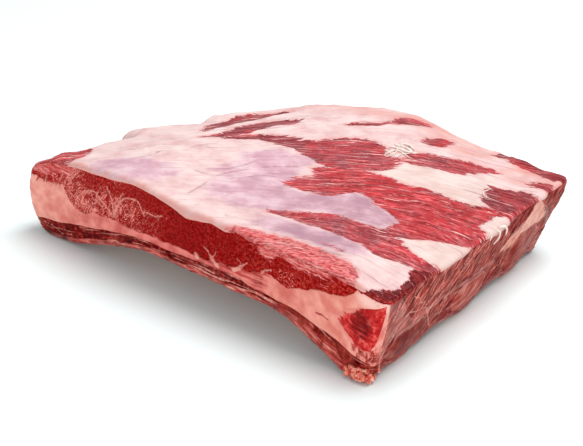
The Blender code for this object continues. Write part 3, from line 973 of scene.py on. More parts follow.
def seam_over(s, t):
    """The height at which the seam ends and the upper lean begins."""
    x = plan(s, t)[..., 0]
    front = 1 - ramp(0.02, 0.16, t)
    left_end = (0.031 - 0.018 * ramp(0.15, 0.60, t)) * (1 - ramp(0.080, 0.160, s))
    left_run = 0.008 * (1 - ramp(0.18, 0.40, s))
    right_run = 0.004 * ramp(0.55, 0.62, s) + 0.020 * ramp(0.74, 0.87, s)
    right_corner = 0.008 * ramp(0.88, 0.96, s)
    far_right = read_off(FAR_RIGHT_KNOT, t) / 1000 * ramp(0.90, 0.99, s)
    extra = (left_run + right_run + right_corner) * front + left_end + far_right
    z = seam_under(s, t) + SEAM_THICKNESS + extra + 0.002 * bump(x, 0.030, 0.060)
    share = read_off(SEAM_TOP, s)
    z = z + (underside(s, t) * (1 - share) + upper_face(s, t) * share - z) * (1 - ramp(0.02, 0.10, t))
    # The meat above ends in lobes, so the border wanders up and down.
    z = z + 0.0010 * grain(spread_out(s, t), 0.010, 90) + 0.0007 * grain(spread_out(s, t), 0.0035, 91, 2)
    highest = upper_face(s, t) - THINNEST_LEAN
    return np.maximum(np.minimum(z, highest), seam_under(s, t) + THINNEST_SEAM)


def walls(low, high, rows):
    """A full-width layer whose four side walls are finely divided and whose faces are hidden.
    Also returns which of its points show."""
    skin = Skin()
    s, t = [], []
    for side, count in enumerate(SIDE_COUNTS):
        k = np.arange(count) / count
        s.append((k, 1 + 0 * k, 1 - k, 0 * k)[side])
        t.append((0 * k, k, 1 + 0 * k, 1 - k)[side])
    s, t = np.concatenate(s), np.concatenate(t)
    bottom, top = low(s, t), high(s, t)
    levels = [(bottom + rise, inset) for rise, inset in BORDER]
    levels += [(bottom + (top - bottom) * k, 0.0) for k in np.linspace(0, 1, rows + 1)[1:-1]]
    levels += [(top - rise, inset) for rise, inset in BORDER[::-1]]
    rings = []
    for z, inset in levels:
        ks = 0.5 + (s - 0.5) * (1 - 2 * inset / WIDTH)
        kt = 0.5 + (t - 0.5) * (1 - 2 * inset / DEPTH)
        rings.append(skin.add(ks, kt, np.clip(z, bottom - LAP, top + LAP)))
    for ring, other in zip(rings, rings[1:]):
        skin.band(ring, other)
    shown = skin.size
    skin.close_inside(rings[0], s, t, lambda a, b: low(a, b) - LAP)
    skin.close_inside(rings[-1], s, t, lambda a, b: high(a, b) + LAP)
    return skin, np.arange(skin.size) < shown


# Red muscle that runs out over the seam's left end and under the corner muscle, as outlines along
# and up the front, and a short nick in the fat.
LEFT_RED = [
    (0.015, 0.86), (0.03, 0.745), (0.06, 0.695), (0.082, 0.71), (0.065, 0.76), (0.05, 0.85), (0.03, 0.92),
]  # fmt: skip
CORNER_RED = [
    (0.935, 0.40), (0.945, 0.28), (0.965, 0.22), (1.0, 0.22), (1.0, 0.40), (0.985, 0.46), (0.960, 0.44),
]  # fmt: skip
SEAM_NICK = [(0.845, 0.39), (0.860, 0.42), (0.875, 0.415)]


def cut_seam_fat():
    """Firm seam fat, knife cut: smooth, waxy, peach pink, with faint red lines where thin sheets
    of muscle and small vessels lie in it."""
    material, add, read = new_material("cut seam fat", "warm lines red blotch smear pale", "flow")
    # Sheets of muscle in it are 2 mm thick, and fibres that stand up out of it are 1.2 mm.
    sheets = drawn_out(add, read["flow"], (0.034, 0.02, 0.0022), 4, distortion=0.5)
    upright = drawn_out(add, read["flow"], (0.0012, 0.01, 0.010), 3, distortion=0.5, turn=(0, 0.25, 0))
    clouds = add("TexNoise", Vector=read["flow"], Scale=110, Detail=4)
    peach = add("ValToRGB", Fac=clouds, stops=((0.36, "#E48072"), (0.64, "#F8AB9A")))
    rosy = add("ValToRGB", Fac=clouds, stops=((0.36, "#CC524C"), (0.64, "#EC8177")))
    base = add("Mix", data_type="RGBA", Factor=read["warm"], A=peach, B=rosy)
    white = add("Mix", data_type="RGBA", Factor=read["pale"], A=base, B="#FFC6BC")
    lined = add("Math", sheets, read["lines"], operation="ADD")
    red = add("MapRange", **EASED, Value=lined, From_Min=0.95, From_Max=1.12, To_Max=0.9)
    streaked = add("Math", upright, read["red"], operation="ADD")
    muscle = add("MapRange", **EASED, Value=streaked, From_Min=0.92, From_Max=1.08, To_Max=0.95)
    both = add("Math", red, muscle, operation="MAXIMUM")
    knots = add("TexNoise", Vector=read["flow"], Scale=260, Detail=4, Roughness=0.65, Distortion=1.0)
    mottled = add("MapRange", **EASED, Value=knots, From_Min=0.40, From_Max=0.56)
    blotch = add("Math", mottled, read["blotch"], operation="MULTIPLY")
    both = add("Math", both, blotch, operation="MAXIMUM")
    lean = add("ValToRGB", Fac=clouds, stops=((0.38, "#860A0A"), (0.62, "#BE2E2A")))
    front = add("Mix", data_type="RGBA", Factor=both, A=white, B=lean)
    across = cut_across(add, read["flow"])
    side = add("Mix", data_type="RGBA", Factor=read["smear"], A=front, B=across)
    whole = with_strands(add, side, "#F0AB9C")
    relief = add("Bump", Height=sheets, Strength=0.25, Distance=0.0006)
    shader = add(
        "BsdfPrincipled", Base_Color=whole, Normal=relief, Roughness=0.42, IOR=1.45,
        Specular_IOR_Level=0.2, Subsurface_Weight=0.1, Subsurface_Radius=(1, 0.4, 0.25),
        Subsurface_Scale=0.002,
    )
    add("OutputMaterial", Surface=shader)
    return material


skin, shown = walls(seam_under, seam_over, rows=26)
seam = skin.piece("seam_fat")
s, t, z = skin.spots()
w = share_of_height(s, t, z)
flow = layers(s, t, z)
at = on_front(s, w)
front, right = near_walls(s, t)
lift(seam, shown * (0.0004 * grain(flow, 0.012, 92) + 0.00025 * grain(flow / (6, 4, 1), 0.002, 93)))
note_walls(seam, s, t, z, shown)
warm = np.interp(s, [0, 0.1, 0.2, 0.35, 0.6, 0.75, 0.85], [0.0, 0.25, 0.7, 1, 1, 0.6, 0.15])
note(seam, "warm", np.clip(front * warm + (1 - front) * (0.2 + 0.2 * (1 - right)), 0, 1))
lined = np.interp(s, [0, 0.3, 0.45, 0.52, 0.70, 0.76], [0.2, 0.30, 0.42, 0.54, 0.52, 0.25])
nick = 0.5 * bump(distance(at, outline(SEAM_NICK, on_front, closed=False), closed=False), 0, 0.0009)
note(seam, "lines", front * (lined + nick) + (1 - front) * (0.36 - 0.1 * right))
wedge = ramp(-0.0012, 0.0012, distance(at, outline(LEFT_RED, on_front)))
corner = ramp(-0.0012, 0.0012, distance(at, outline(CORNER_RED, on_front)))
fringe = 0.52 * ramp(0.60, 0.72, w) * ramp(0.010, 0.03, s) * (1 - ramp(0.11, 0.13, s))
left_wall = 0.46 * (s < 0.01) * ramp(0.60, 0.72, w)
note(seam, "red", np.maximum(front * np.maximum(0.8 * wedge, fringe), left_wall))
bare_end = ramp(0.004, 0.014, t) * (0.9 + 0.1 * ramp(0.55, 0.62, t))
note(seam, "smear", np.clip(right * (bare_end + 0.2 * grain(flow, 0.006, 94)), 0, 1))
note(seam, "pale", front * ramp(0.92, 0.95, s) * ramp(0.78, 0.88, w))
note(seam, "blotch", front * corner)
note(seam, "flow", flow)
seam.data.materials.append(cut_seam_fat())
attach(seam, "root")
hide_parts("seam_fat")


# -------------------------------------------------------- the corner muscle
# A small separate muscle lies in the seam fat at the front right corner, cut across so that its
# bright, wet end shows. It is a lens of meat set in the fat.

CORNER_EDGE = [
    (0.892, 0.50), (0.904, 0.64), (0.935, 0.77), (0.972, 0.86), (1.002, 0.93),
    (1.001, 0.78), (0.998, 0.62), (0.992, 0.45), (0.970, 0.35), (0.925, 0.37),
]  # fmt: skip
CORNER_MIDDLE = (0.960, 0.62)
CORNER_ROUND = 120
CORNER_DEPTH = 0.014
# Its rings, as shares of the way out from its middle: those that show, and then three that close it
# behind, each with how far in from the front it lies.
REACHES = np.concatenate([[0.004], np.linspace(0.08, 0.88, 11), [0.94, 1.0]])
BEHIND = [(0.92, 0.004), (0.6, CORNER_DEPTH), (0.02, CORNER_DEPTH)]


def bright_muscle():
    """Fresh-cut muscle end: saturated red, darkest in the middle, streaked where fibres were
    cut, its left edge frayed into the fat."""
    material, add, read = new_material("fresh cut corner muscle", "middle edge", "flow")
    # Its fibres were cut aslant and show as streaks 2 mm thick and 9 mm long.
    streaks = drawn_out(add, read["flow"], (0.009, 0.01, 0.0018), 5, 0.6, 0.6, turn=(0, 0.15, 0))
    knots = add("TexNoise", Vector=read["flow"], Scale=260, Detail=5, Roughness=0.65)
    bright = add("ValToRGB", Fac=knots, stops=((0.38, "#A80C10"), (0.52, "#CC2A2A"), (0.66, "#EE655C")))
    much = add("Math", streaks, read["middle"], operation="ADD")
    depth = add("MapRange", **EASED, Value=much, From_Min=0.70, From_Max=1.1)
    deep = add("Mix", data_type="RGBA", Factor=depth, A=bright, B="#6A0204")
    frayed = add("Math", streaks, read["edge"], operation="ADD")
    fat = add("MapRange", **EASED, Value=frayed, From_Min=0.95, From_Max=1.08)
    whole = add("Mix", data_type="RGBA", Factor=fat, A=deep, B="#EE9083")
    relief = add("Bump", Height=streaks, Strength=0.4, Distance=0.0006)
    shader = add(
        "BsdfPrincipled", Base_Color=whole, Normal=relief, Roughness=0.3, IOR=1.4, Specular_IOR_Level=0.10
    )
    add("OutputMaterial", Surface=shader)
    return material


skin = Skin()
rim_s, rim_w = outline(CORNER_EDGE, lambda s, w: np.stack([s, w]), steps=CORNER_ROUND // len(CORNER_EDGE))
rings = []
for reach, inside in [(r, 0) for r in REACHES] + BEHIND:
    s = CORNER_MIDDLE[0] + reach * (rim_s - CORNER_MIDDLE[0]) - (0.008 if inside else 0)
    w = CORNER_MIDDLE[1] + reach * (rim_w - CORNER_MIDDLE[1])
    t = 0 * s + inside / DEPTH
    rings.append(skin.add(s, t, height_at(s, t, w)))
for ring, other in zip(rings, rings[1:]):
    skin.band(ring, other)
skin.faces.append(rings[0][None, :])
skin.faces.append(rings[-1][None, :])
corner_muscle = skin.piece("corner_muscle")
s, t, z = skin.spots()
flow = layers(s, t, z)
reach = np.repeat(np.append(REACHES, [2] * len(BEHIND)), CORNER_ROUND)
swell = 0.0009 * (1 - ramp(0.70, 0.97, reach)) + 0.0003 - 0.0008 * ramp(0.94, 1.0, reach)
streaky = 0.0004 * grain(flow / (5, 4, 1), 0.0022, 95) * (1 - ramp(0.85, 1, reach))
lift(corner_muscle, np.where(reach > 1, 0, swell + streaky))
dark = np.hypot((s - 0.950) / 0.030, (share_of_height(s, t, z) - 0.62) / 0.20)
note(corner_muscle, "middle", 0.50 * (1 - ramp(0.3, 1.6, dark)))
frayed_left = 0.66 * ramp(0.35, 1.0, reach) * (1 - ramp(0.925, 0.97, s))
note(corner_muscle, "edge", frayed_left + 0.2 * ramp(0.9, 1, reach))
note(corner_muscle, "flow", flow)
corner_muscle.data.materials.append(bright_muscle())
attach(corner_muscle, "root")
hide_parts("corner_muscle")


# ----------------------------------------------------------- the upper lean
# The thick muscle over the seam is the best of the cut. Its four sides are fresh knife cuts:
# close-grained dark red on the long front, coarser and browner on the right end, with
# marbling fat branching up out of the seam.

# How round the fat cap's rim is, which the lean stays under.
CAP_ROUND = 0.0026


def marbled_lean():
    """Raw marbled beef, knife cut and moist: dark red flesh flecked with short pale threads of
    fat, darker and plainer where the muscle is solid."""
    material, add, read = new_material("cut marbled lean", "marble tone end pink", "flow")
    place_on = add("TexCoord")
    # Flecks of marbling are about 1 mm thick and 2.5 mm long.
    flecks = drawn_out(add, read["flow"], (0.0026, 0.002, 0.0010), 2, 0.6, 1.6, turn=(0, -0.9, 0))
    grains = add("TexNoise", Vector=read["flow"], Scale=650, Detail=3, Roughness=0.6)
    clumps = add("TexNoise", Vector=read["flow"], Scale=115, Detail=2)
    lean = add("ValToRGB", Fac=grains, stops=((0.38, "#760000"), (0.50, "#8E0000"), (0.62, "#A61C18")))
    lit = add("ValToRGB", Fac=grains, stops=((0.38, "#860000"), (0.50, "#A6100C"), (0.62, "#CE463C")))
    flesh = add("Mix", data_type="RGBA", Factor=read["tone"], A=lean, B=lit)
    much = add("Math", read["marble"], 0.30, flecks, operation="MULTIPLY_ADD")
    more = add("Math", clumps, 0.35, much, operation="MULTIPLY_ADD")
    fatty = add("MapRange", **EASED, Value=more, From_Min=0.945, From_Max=1.045, To_Max=0.85)
    marbled = add("Mix", data_type="RGBA", Factor=fatty, A=flesh, B="#FA968A")
    across = cut_across(add, read["flow"])
    both = add("Mix", data_type="RGBA", Factor=read["end"], A=marbled, B=across)
    # Where the fat thins out over the lean, it lies in streaks 1 mm thick and 7 mm long.
    thin = drawn_out(add, (place_on, "Object"), (0.007, 0.004, 0.0012), 5, 0.7, 0.3, turn=(0, 0.05, 0))
    stops = ((0.37, "#AA2A28"), (0.45, "#CC4C4A"), (0.54, "#DE7673"), (0.64, "#F2A39C"))
    pink = add("ValToRGB", Fac=thin, stops=stops)
    frayed = add("Math", thin, 1.6, read["pink"], operation="MULTIPLY_ADD")
    film = add("MapRange", **EASED, Value=frayed, From_Min=1.08, From_Max=1.42)
    edged = add("Mix", data_type="RGBA", Factor=film, A=both, B=pink)
    whole = with_strands(add, edged, "#E8958A")
    relief = add("Bump", Height=grains, Strength=0.3, Distance=0.0005)
    shader = add(
        "BsdfPrincipled", Base_Color=whole, Normal=relief, Roughness=0.36, IOR=1.4,
        Specular_IOR_Level=0.04,
    )
    add("OutputMaterial", Surface=shader)
    return material


def lean_top(s, t):
    """The height at which the lean ends, close under the fat cap."""
    return upper_face(s, t) - CAP_ROUND - LAP


skin, shown = walls(seam_over, lean_top, rows=44)
lean = skin.piece("upper_lean")
s, t, z = skin.spots()
w = share_of_height(s, t, z)
flow = layers(s, t, z)
front, right = near_walls(s, t)
coarse = np.interp(s, [0.4, 0.6, 0.8], [0.0, 1.0, 1.0]) * front
lift(
    lean,
    shown
    * (
        0.0005 * grain(flow, 0.012, 100)
        + 0.0003 * grain(flow, 0.0030, 101) * (1 + 1.5 * coarse)
        + 0.0003 * right * grain(slanted(flow) / (6, 1, 1), 0.0015, 102)
    ),
)
# How marbled and how light the front cut is at a few places along it.
spread = [0.08, 0.13, 0.18, 0.30, 0.38, 0.45, 0.52, 0.56, 0.62, 0.70, 0.78, 0.85, 0.89]
marble = np.interp(s, spread, [0.50, 0.95, 0.95, 0.90, 0.65, 0.25, 0.10, 0.40, 0.15, 0.45, 0.70, 0.60, 0.30])
marble = marble - 0.45 * ramp(0.62, 0.80, w) * ramp(0.14, 0.2, s)
note(lean, "marble", np.clip(front * marble + (1 - front) * 0.5, 0, 1))
tone = np.interp(s, spread, [0.8, 0.55, 0.5, 0.45, 0.3, 0.15, 0.0, 0.15, 0.2, 0.45, 0.6, 0.6, 1.0])
note(lean, "tone", np.clip(front * tone + (1 - front) * 0.4 + 0.2 * grain(flow, 0.02, 103), 0, 1))
note(lean, "end", right * (1 - front))
# Thin fat runs down over its upper edge at the left and towards the right.
fringe = ramp(0.66, 1.00, w + 0.14 * grain(flow / (2, 1, 1), 0.006, 104)) * front
thinly = np.interp(s, [0, 0.12, 0.15, 0.60, 0.72, 0.85, 0.89], [1.0, 0.8, 0, 0, 0.95, 0.8, 0])
note(lean, "pink", fringe * thinly)
note(lean, "flow", flow)
note_walls(lean, s, t, z, shown)
lean.data.materials.append(marbled_lean())
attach(lean, "root")
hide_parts("upper_lean")


# -------------------------------------------------------------- the fat cap
# The upper face was skinned: a sheet of pink fat with lavender silverskin is left, torn and
# shaved through in long streaks where the muscle shows. The fat stands a little over the muscle
# and its cut rim turns down over the edges of the slab.

# Outlines of the bare muscle, as places along and across the slab. Before each come how fresh and
# bright it is, how thick and dark, and how much pale grain it has.
BARE = (
    (0.0, 0.2, 0.0, [(0.172, 0.43), (0.160, 0.50), (0.142, 0.60), (0.122, 0.70), (0.13, 0.78),
     (0.095, 0.83), (0.055, 0.77), (0.060, 0.68), (0.090, 0.57), (0.130, 0.46)]),
    (0.1, 0.2, 0.0, [(0.235, 0.39), (0.252, 0.48), (0.246, 0.56), (0.268, 0.66), (0.236, 0.70),
     (0.182, 0.64), (0.190, 0.52)]),
    (0.4, 0.0, 0.6, [(0.205, 0.36), (0.230, 0.40), (0.262, 0.44), (0.290, 0.49), (0.275, 0.50),
     (0.245, 0.46), (0.215, 0.41)]),
    (0.0, 0.3, 0.0, [(0.255, 0.40), (0.300, 0.455), (0.350, 0.475), (0.400, 0.48), (0.45, 0.51),
     (0.385, 0.56), (0.325, 0.54), (0.275, 0.49)]),
    (0.35, 0.0, 0.1, [(0.42, 0.49), (0.40, 0.56), (0.42, 0.64), (0.47, 0.70), (0.55, 0.70),
     (0.58, 0.64), (0.64, 0.64), (0.65, 0.59), (0.62, 0.53), (0.54, 0.46), (0.47, 0.46)]),
    (0.60, 0.0, 0.1, [(0.61, 0.67), (0.61, 0.76), (0.66, 0.79), (0.70, 0.83), (0.75, 0.86),
     (0.83, 0.88), (0.80, 0.82), (0.77, 0.75), (0.72, 0.71), (0.65, 0.66)]),
    (0.55, 0.1, 0.0, [(0.57, 0.82), (0.56, 0.90), (0.60, 0.92), (0.63, 0.89), (0.62, 0.84)]),
    (0.50, 0.1, 0.2, [(0.40, 0.88), (0.39, 0.93), (0.43, 0.96), (0.48, 0.97), (0.49, 0.94),
     (0.46, 0.89), (0.42, 0.85)]),
    (0.10, 0.1, 0.2, [(0.34, 0.74), (0.36, 0.79), (0.42, 0.85), (0.41, 0.81), (0.38, 0.77)]),
    (0.45, 0.3, 0.0, [(0.72, 0.97), (0.78, 1.02), (0.90, 1.02), (1.01, 1.0), (0.99, 0.94), (0.88, 0.95),
     (0.79, 0.95)]),
    (0.45, 0.3, 0.0, [(0.90, 0.885), (0.95, 0.91), (1.01, 0.91), (1.01, 0.87), (0.95, 0.87)]),
    (0.10, 0.35, 0.0, [(0.88, 0.70), (0.87, 0.77), (0.91, 0.81), (1.01, 0.80), (1.01, 0.66),
     (0.97, 0.63), (0.92, 0.64)]),
    (1.10, 0.10, 0.2, [(0.925, 0.625), (0.965, 0.675), (0.990, 0.79), (1.02, 0.80), (1.02, 0.64),
     (0.97, 0.62)]),
    (0.85, 0.0, 0.1, [(0.52, 0.43), (0.56, 0.48), (0.63, 0.53), (0.72, 0.545), (0.81, 0.575),
     (0.89, 0.60), (0.96, 0.61), (0.97, 0.53), (1.01, 0.47), (1.01, 0.41), (0.95, 0.36), (0.89, 0.29),
     (0.85, 0.28), (0.83, 0.35), (0.76, 0.38), (0.67, 0.41), (0.58, 0.40)]),
    (0.75, 0.0, 0.2, [(0.54, 0.29), (0.53, 0.33), (0.56, 0.40), (0.62, 0.42), (0.67, 0.40),
     (0.67, 0.35), (0.63, 0.31)]),
    (0.40, 0.0, 0.2, [(0.61, 0.13), (0.66, 0.19), (0.72, 0.25), (0.80, 0.27), (0.84, 0.29),
     (0.87, 0.27), (0.95, 0.24), (1.01, 0.24), (1.01, 0.19), (0.95, 0.175), (0.89, 0.145), (0.85, 0.16),
     (0.78, 0.16), (0.70, 0.15)]),
    (0.40, 1.0, 0.0, [(0.938, -0.03), (0.955, 0.01), (0.985, 0.05), (0.985, 0.11), (0.970, 0.17),
     (1.01, 0.24), (1.03, 0.10), (1.02, -0.03)]),
    (0.90, 0.0, 0.9, [(0.56, -0.04), (0.64, 0.015), (0.70, 0.04), (0.76, 0.06), (0.83, 0.062),
     (0.89, 0.055), (0.92, 0.02), (0.91, -0.03), (0.78, -0.05)]),
    (1.10, 0.0, 0.2, [(-0.02, -0.02), (-0.02, 0.25), (0.015, 0.24), (0.03, 0.14), (0.07, 0.12),
     (0.12, 0.06), (0.12, 0.02), (0.10, -0.03)]),
    (0.70, 0.3, 0.3, [(0.78, 0.095), (0.82, 0.10), (0.85, 0.095), (0.83, 0.085)]),
)  # fmt: skip
# Outlines of the silverskin, and of the thick cream fat.
SILVERSKIN = (
    [(0.41, 0.18), (0.37, 0.34), (0.37, 0.41), (0.41, 0.45), (0.48, 0.45), (0.53, 0.37), (0.56, 0.30),
     (0.60, 0.20), (0.58, 0.10), (0.48, 0.10)],
    [(0.49, 0.20), (0.58, 0.27), (0.67, 0.35), (0.69, 0.41), (0.76, 0.38), (0.83, 0.35), (0.84, 0.30),
     (0.76, 0.26), (0.68, 0.23), (0.63, 0.15), (0.54, 0.10)],
    [(0.62, 0.09), (0.68, 0.13), (0.79, 0.16), (0.88, 0.14), (0.89, 0.11), (0.81, 0.075), (0.74, 0.075),
     (0.67, 0.04)],
    [(0.18, 0.02), (0.20, 0.10), (0.28, 0.14), (0.36, 0.12), (0.36, 0.03), (0.27, 0.00)],
)  # fmt: skip
CREAM = (
    [(0.62, 0.53), (0.65, 0.65), (0.70, 0.69), (0.77, 0.74), (0.82, 0.83), (0.86, 0.83), (0.88, 0.71),
     (0.92, 0.62), (0.87, 0.57), (0.76, 0.55)],
    [(0.87, 0.26), (0.90, 0.29), (0.95, 0.36), (1.01, 0.38), (1.01, 0.22), (0.95, 0.24)],
    [(0.93, 0.61), (1.01, 0.63), (1.01, 0.50), (0.98, 0.48), (0.95, 0.54)],
    [(0.55, 0.70), (0.54, 0.75), (0.60, 0.79), (0.62, 0.72), (0.60, 0.65), (0.57, 0.65)],
)  # fmt: skip
# Thin folds and nicks in the fat, as short lines: each is dented a little and darkened with painted shade.
CREASES = (
    [(0.44, 0.31), (0.46, 0.36), (0.50, 0.41)],
    [(0.45, 0.04), (0.44, 0.10), (0.43, 0.15)],
    [(0.24, 0.14), (0.24, 0.21)],
    [(0.14, 0.13), (0.17, 0.18)],
    [(0.36, 0.16), (0.41, 0.18)],
    [(0.39, 0.21), (0.41, 0.28), (0.41, 0.35)],
    [(0.42, 0.18), (0.42, 0.23), (0.44, 0.29)],
    [(0.56, 0.04), (0.59, 0.03)],
    [(0.46, 0.23), (0.48, 0.28), (0.51, 0.31)],
    [(0.55, 0.72), (0.56, 0.75), (0.59, 0.76)],
    [(0.91, 0.64), (0.89, 0.71)],
    [(0.26, 0.26), (0.27, 0.37)],
    [(0.79, 0.055), (0.83, 0.068), (0.86, 0.07)],
    [(0.66, 0.36), (0.68, 0.40)],
)
# The grain of the muscle fans out: places, and its angle there in degrees.
GRAIN = (
    (0.10, 0.65, 72), (0.22, 0.55, 75), (0.42, 0.90, 52), (0.50, 0.58, 30), (0.72, 0.77, 30),
    (0.80, 0.50, 13), (0.80, 0.20, 9), (0.80, 0.05, 5), (0.45, 0.35, 38), (0.30, 0.15, 40),
    (0.90, 0.97, -4), (0.95, 0.72, 8), (0.20, 0.10, 45),
)  # fmt: skip
# Lumps and dents in the fat: place, size and height.
LUMPS = (
    (0.04, 0.70, 0.012, 0.0015), (0.10, 0.90, 0.014, 0.0016), (0.05, 0.05, 0.012, 0.0020),
    (0.03, 0.14, 0.010, 0.0020), (0.01, 0.20, 0.008, 0.0022), (0.045, 0.21, 0.007, 0.0016),
     (0.12, 0.03, 0.014, 0.0012), (0.50, 0.10, 0.020, 0.0012),
    (0.60, 0.98, 0.012, 0.0012), (0.36, 0.24, 0.018, -0.0012), (0.30, 0.62, 0.020, 0.0012),
    (0.22, 0.22, 0.016, 0.0012), (0.48, 0.36, 0.014, -0.0010), (0.86, 0.09, 0.012, 0.0012),
)  # fmt: skip
# How far the rim runs down the front and the right end, in millimetres.
FRONT_DRAPE = (
    (0, 2.5), (0.05, 1.5), (0.10, 1.0), (0.15, 1.0), (0.20, 3.5), (0.27, 4.0), (0.33, 1.2), (0.40, 1.0),
    (0.45, 3.0), (0.49, 6.0), (0.53, 3.5), (0.56, 1.2), (0.60, 3.2), (0.64, 1.0), (0.67, 3.0), (0.70, 1.0),
    (0.74, 3.8), (0.78, 1.2), (0.82, 3.0), (0.86, 0.8), (0.90, 2.0), (0.93, 0.4),
)  # fmt: skip
RIGHT_DRAPE = (
    (0, 0.4), (0.18, 0.4), (0.24, 1.6), (0.36, 2.0), (0.42, 0.5), (0.49, 0.6), (0.55, 3.2), (0.62, 2.2),
    (0.66, 0.5), (0.80, 0.5), (0.85, 2.5), (0.90, 0.5),
)  # fmt: skip
# How far below the turn of its rim the cap's hidden side lies, inside the lean.
CAP_HIDDEN = 0.0008
# Rim's drop at the back and the left end, in millimetres, and how much it waves there.
OTHER_DRAPE, DRAPE_WAVE = 3.0, 1.5
# How far along its fibres the end of a bare patch frays, and how far its outline itself is torn
# along them and to their sides.
FRAY = 0.0052
RAGGED = 0.0040
RAGGED_ASIDE = 0.0011
OUTSIDE = -0.03


def bare_field(places):
    """How deep inside a bare patch each place is, and the three looks of that patch."""
    field, looks = np.full(len(places), OUTSIDE), np.zeros((len(places), 3))
    for *look, corners in BARE:
        depth = distance(places, outline(corners, plan))
        looks[depth > field] = look
        field = np.maximum(field, depth)
    return field, looks


def patches(places, outlines):
    """How deep inside the nearest of some patches each place is."""
    return np.max([distance(places, outline(corners, plan)) for corners in outlines], axis=0)


def grain_lines(places):
    """Two smooth measures over the face, of which one grows along the fibres and one across
    them, and the direction in which the first grows. Both are cubics fitted to the angles."""
    spots = np.array([g[:2] for g in GRAIN])
    at = plan(spots[:, 0], spots[:, 1])
    angle = np.radians([g[2] for g in GRAIN])
    powers = [(i, j) for i in range(4) for j in range(4) if 0 < i + j < 4]
    scale = 0.15

    def slopes(x, y):
        """How fast each term of the cubic grows along and across the slab."""
        dx = [i * x ** max(i - 1, 0) * y**j for i, j in powers]
        dy = [j * x**i * y ** max(j - 1, 0) for i, j in powers]
        return np.array(dx).T, np.array(dy).T

    gx, gy = slopes(at[:, 0] / scale, at[:, 1] / scale)
    c, s = np.cos(angle)[:, None], np.sin(angle)[:, None]
    rows = np.concatenate([gx * c + gy * s, -gx * s + gy * c, 0.05 * np.eye(len(powers))])
    ones, zeros, rest = np.ones(len(at)), np.zeros(len(at)), np.zeros(len(powers))
    along = np.linalg.lstsq(rows, np.concatenate([ones, zeros, rest]), rcond=None)[0]
    across = np.linalg.lstsq(rows, np.concatenate([zeros, ones, rest]), rcond=None)[0]
    x, y = places[:, 0] / scale, places[:, 1] / scale
    terms = np.array([x**i * y**j for i, j in powers]).T
    gx, gy = slopes(x, y)
    way = np.stack([gx @ along, gy @ along], -1)
    way = way / np.linalg.norm(way, axis=1, keepdims=True)
    return terms @ along * scale, terms @ across * scale, way


def cap_drape(s, t):
    """How far the fat's rim runs down the side of the slab."""
    front = read_off(FRONT_DRAPE, s)
    right = read_off(RIGHT_DRAPE, t)
    other = OTHER_DRAPE + DRAPE_WAVE * np.sin(s * 31) + DRAPE_WAVE * np.sin(t * 27 + 1)
    return np.where(t < 0.015, front, np.where(s > 0.985, right, other)) / 1000


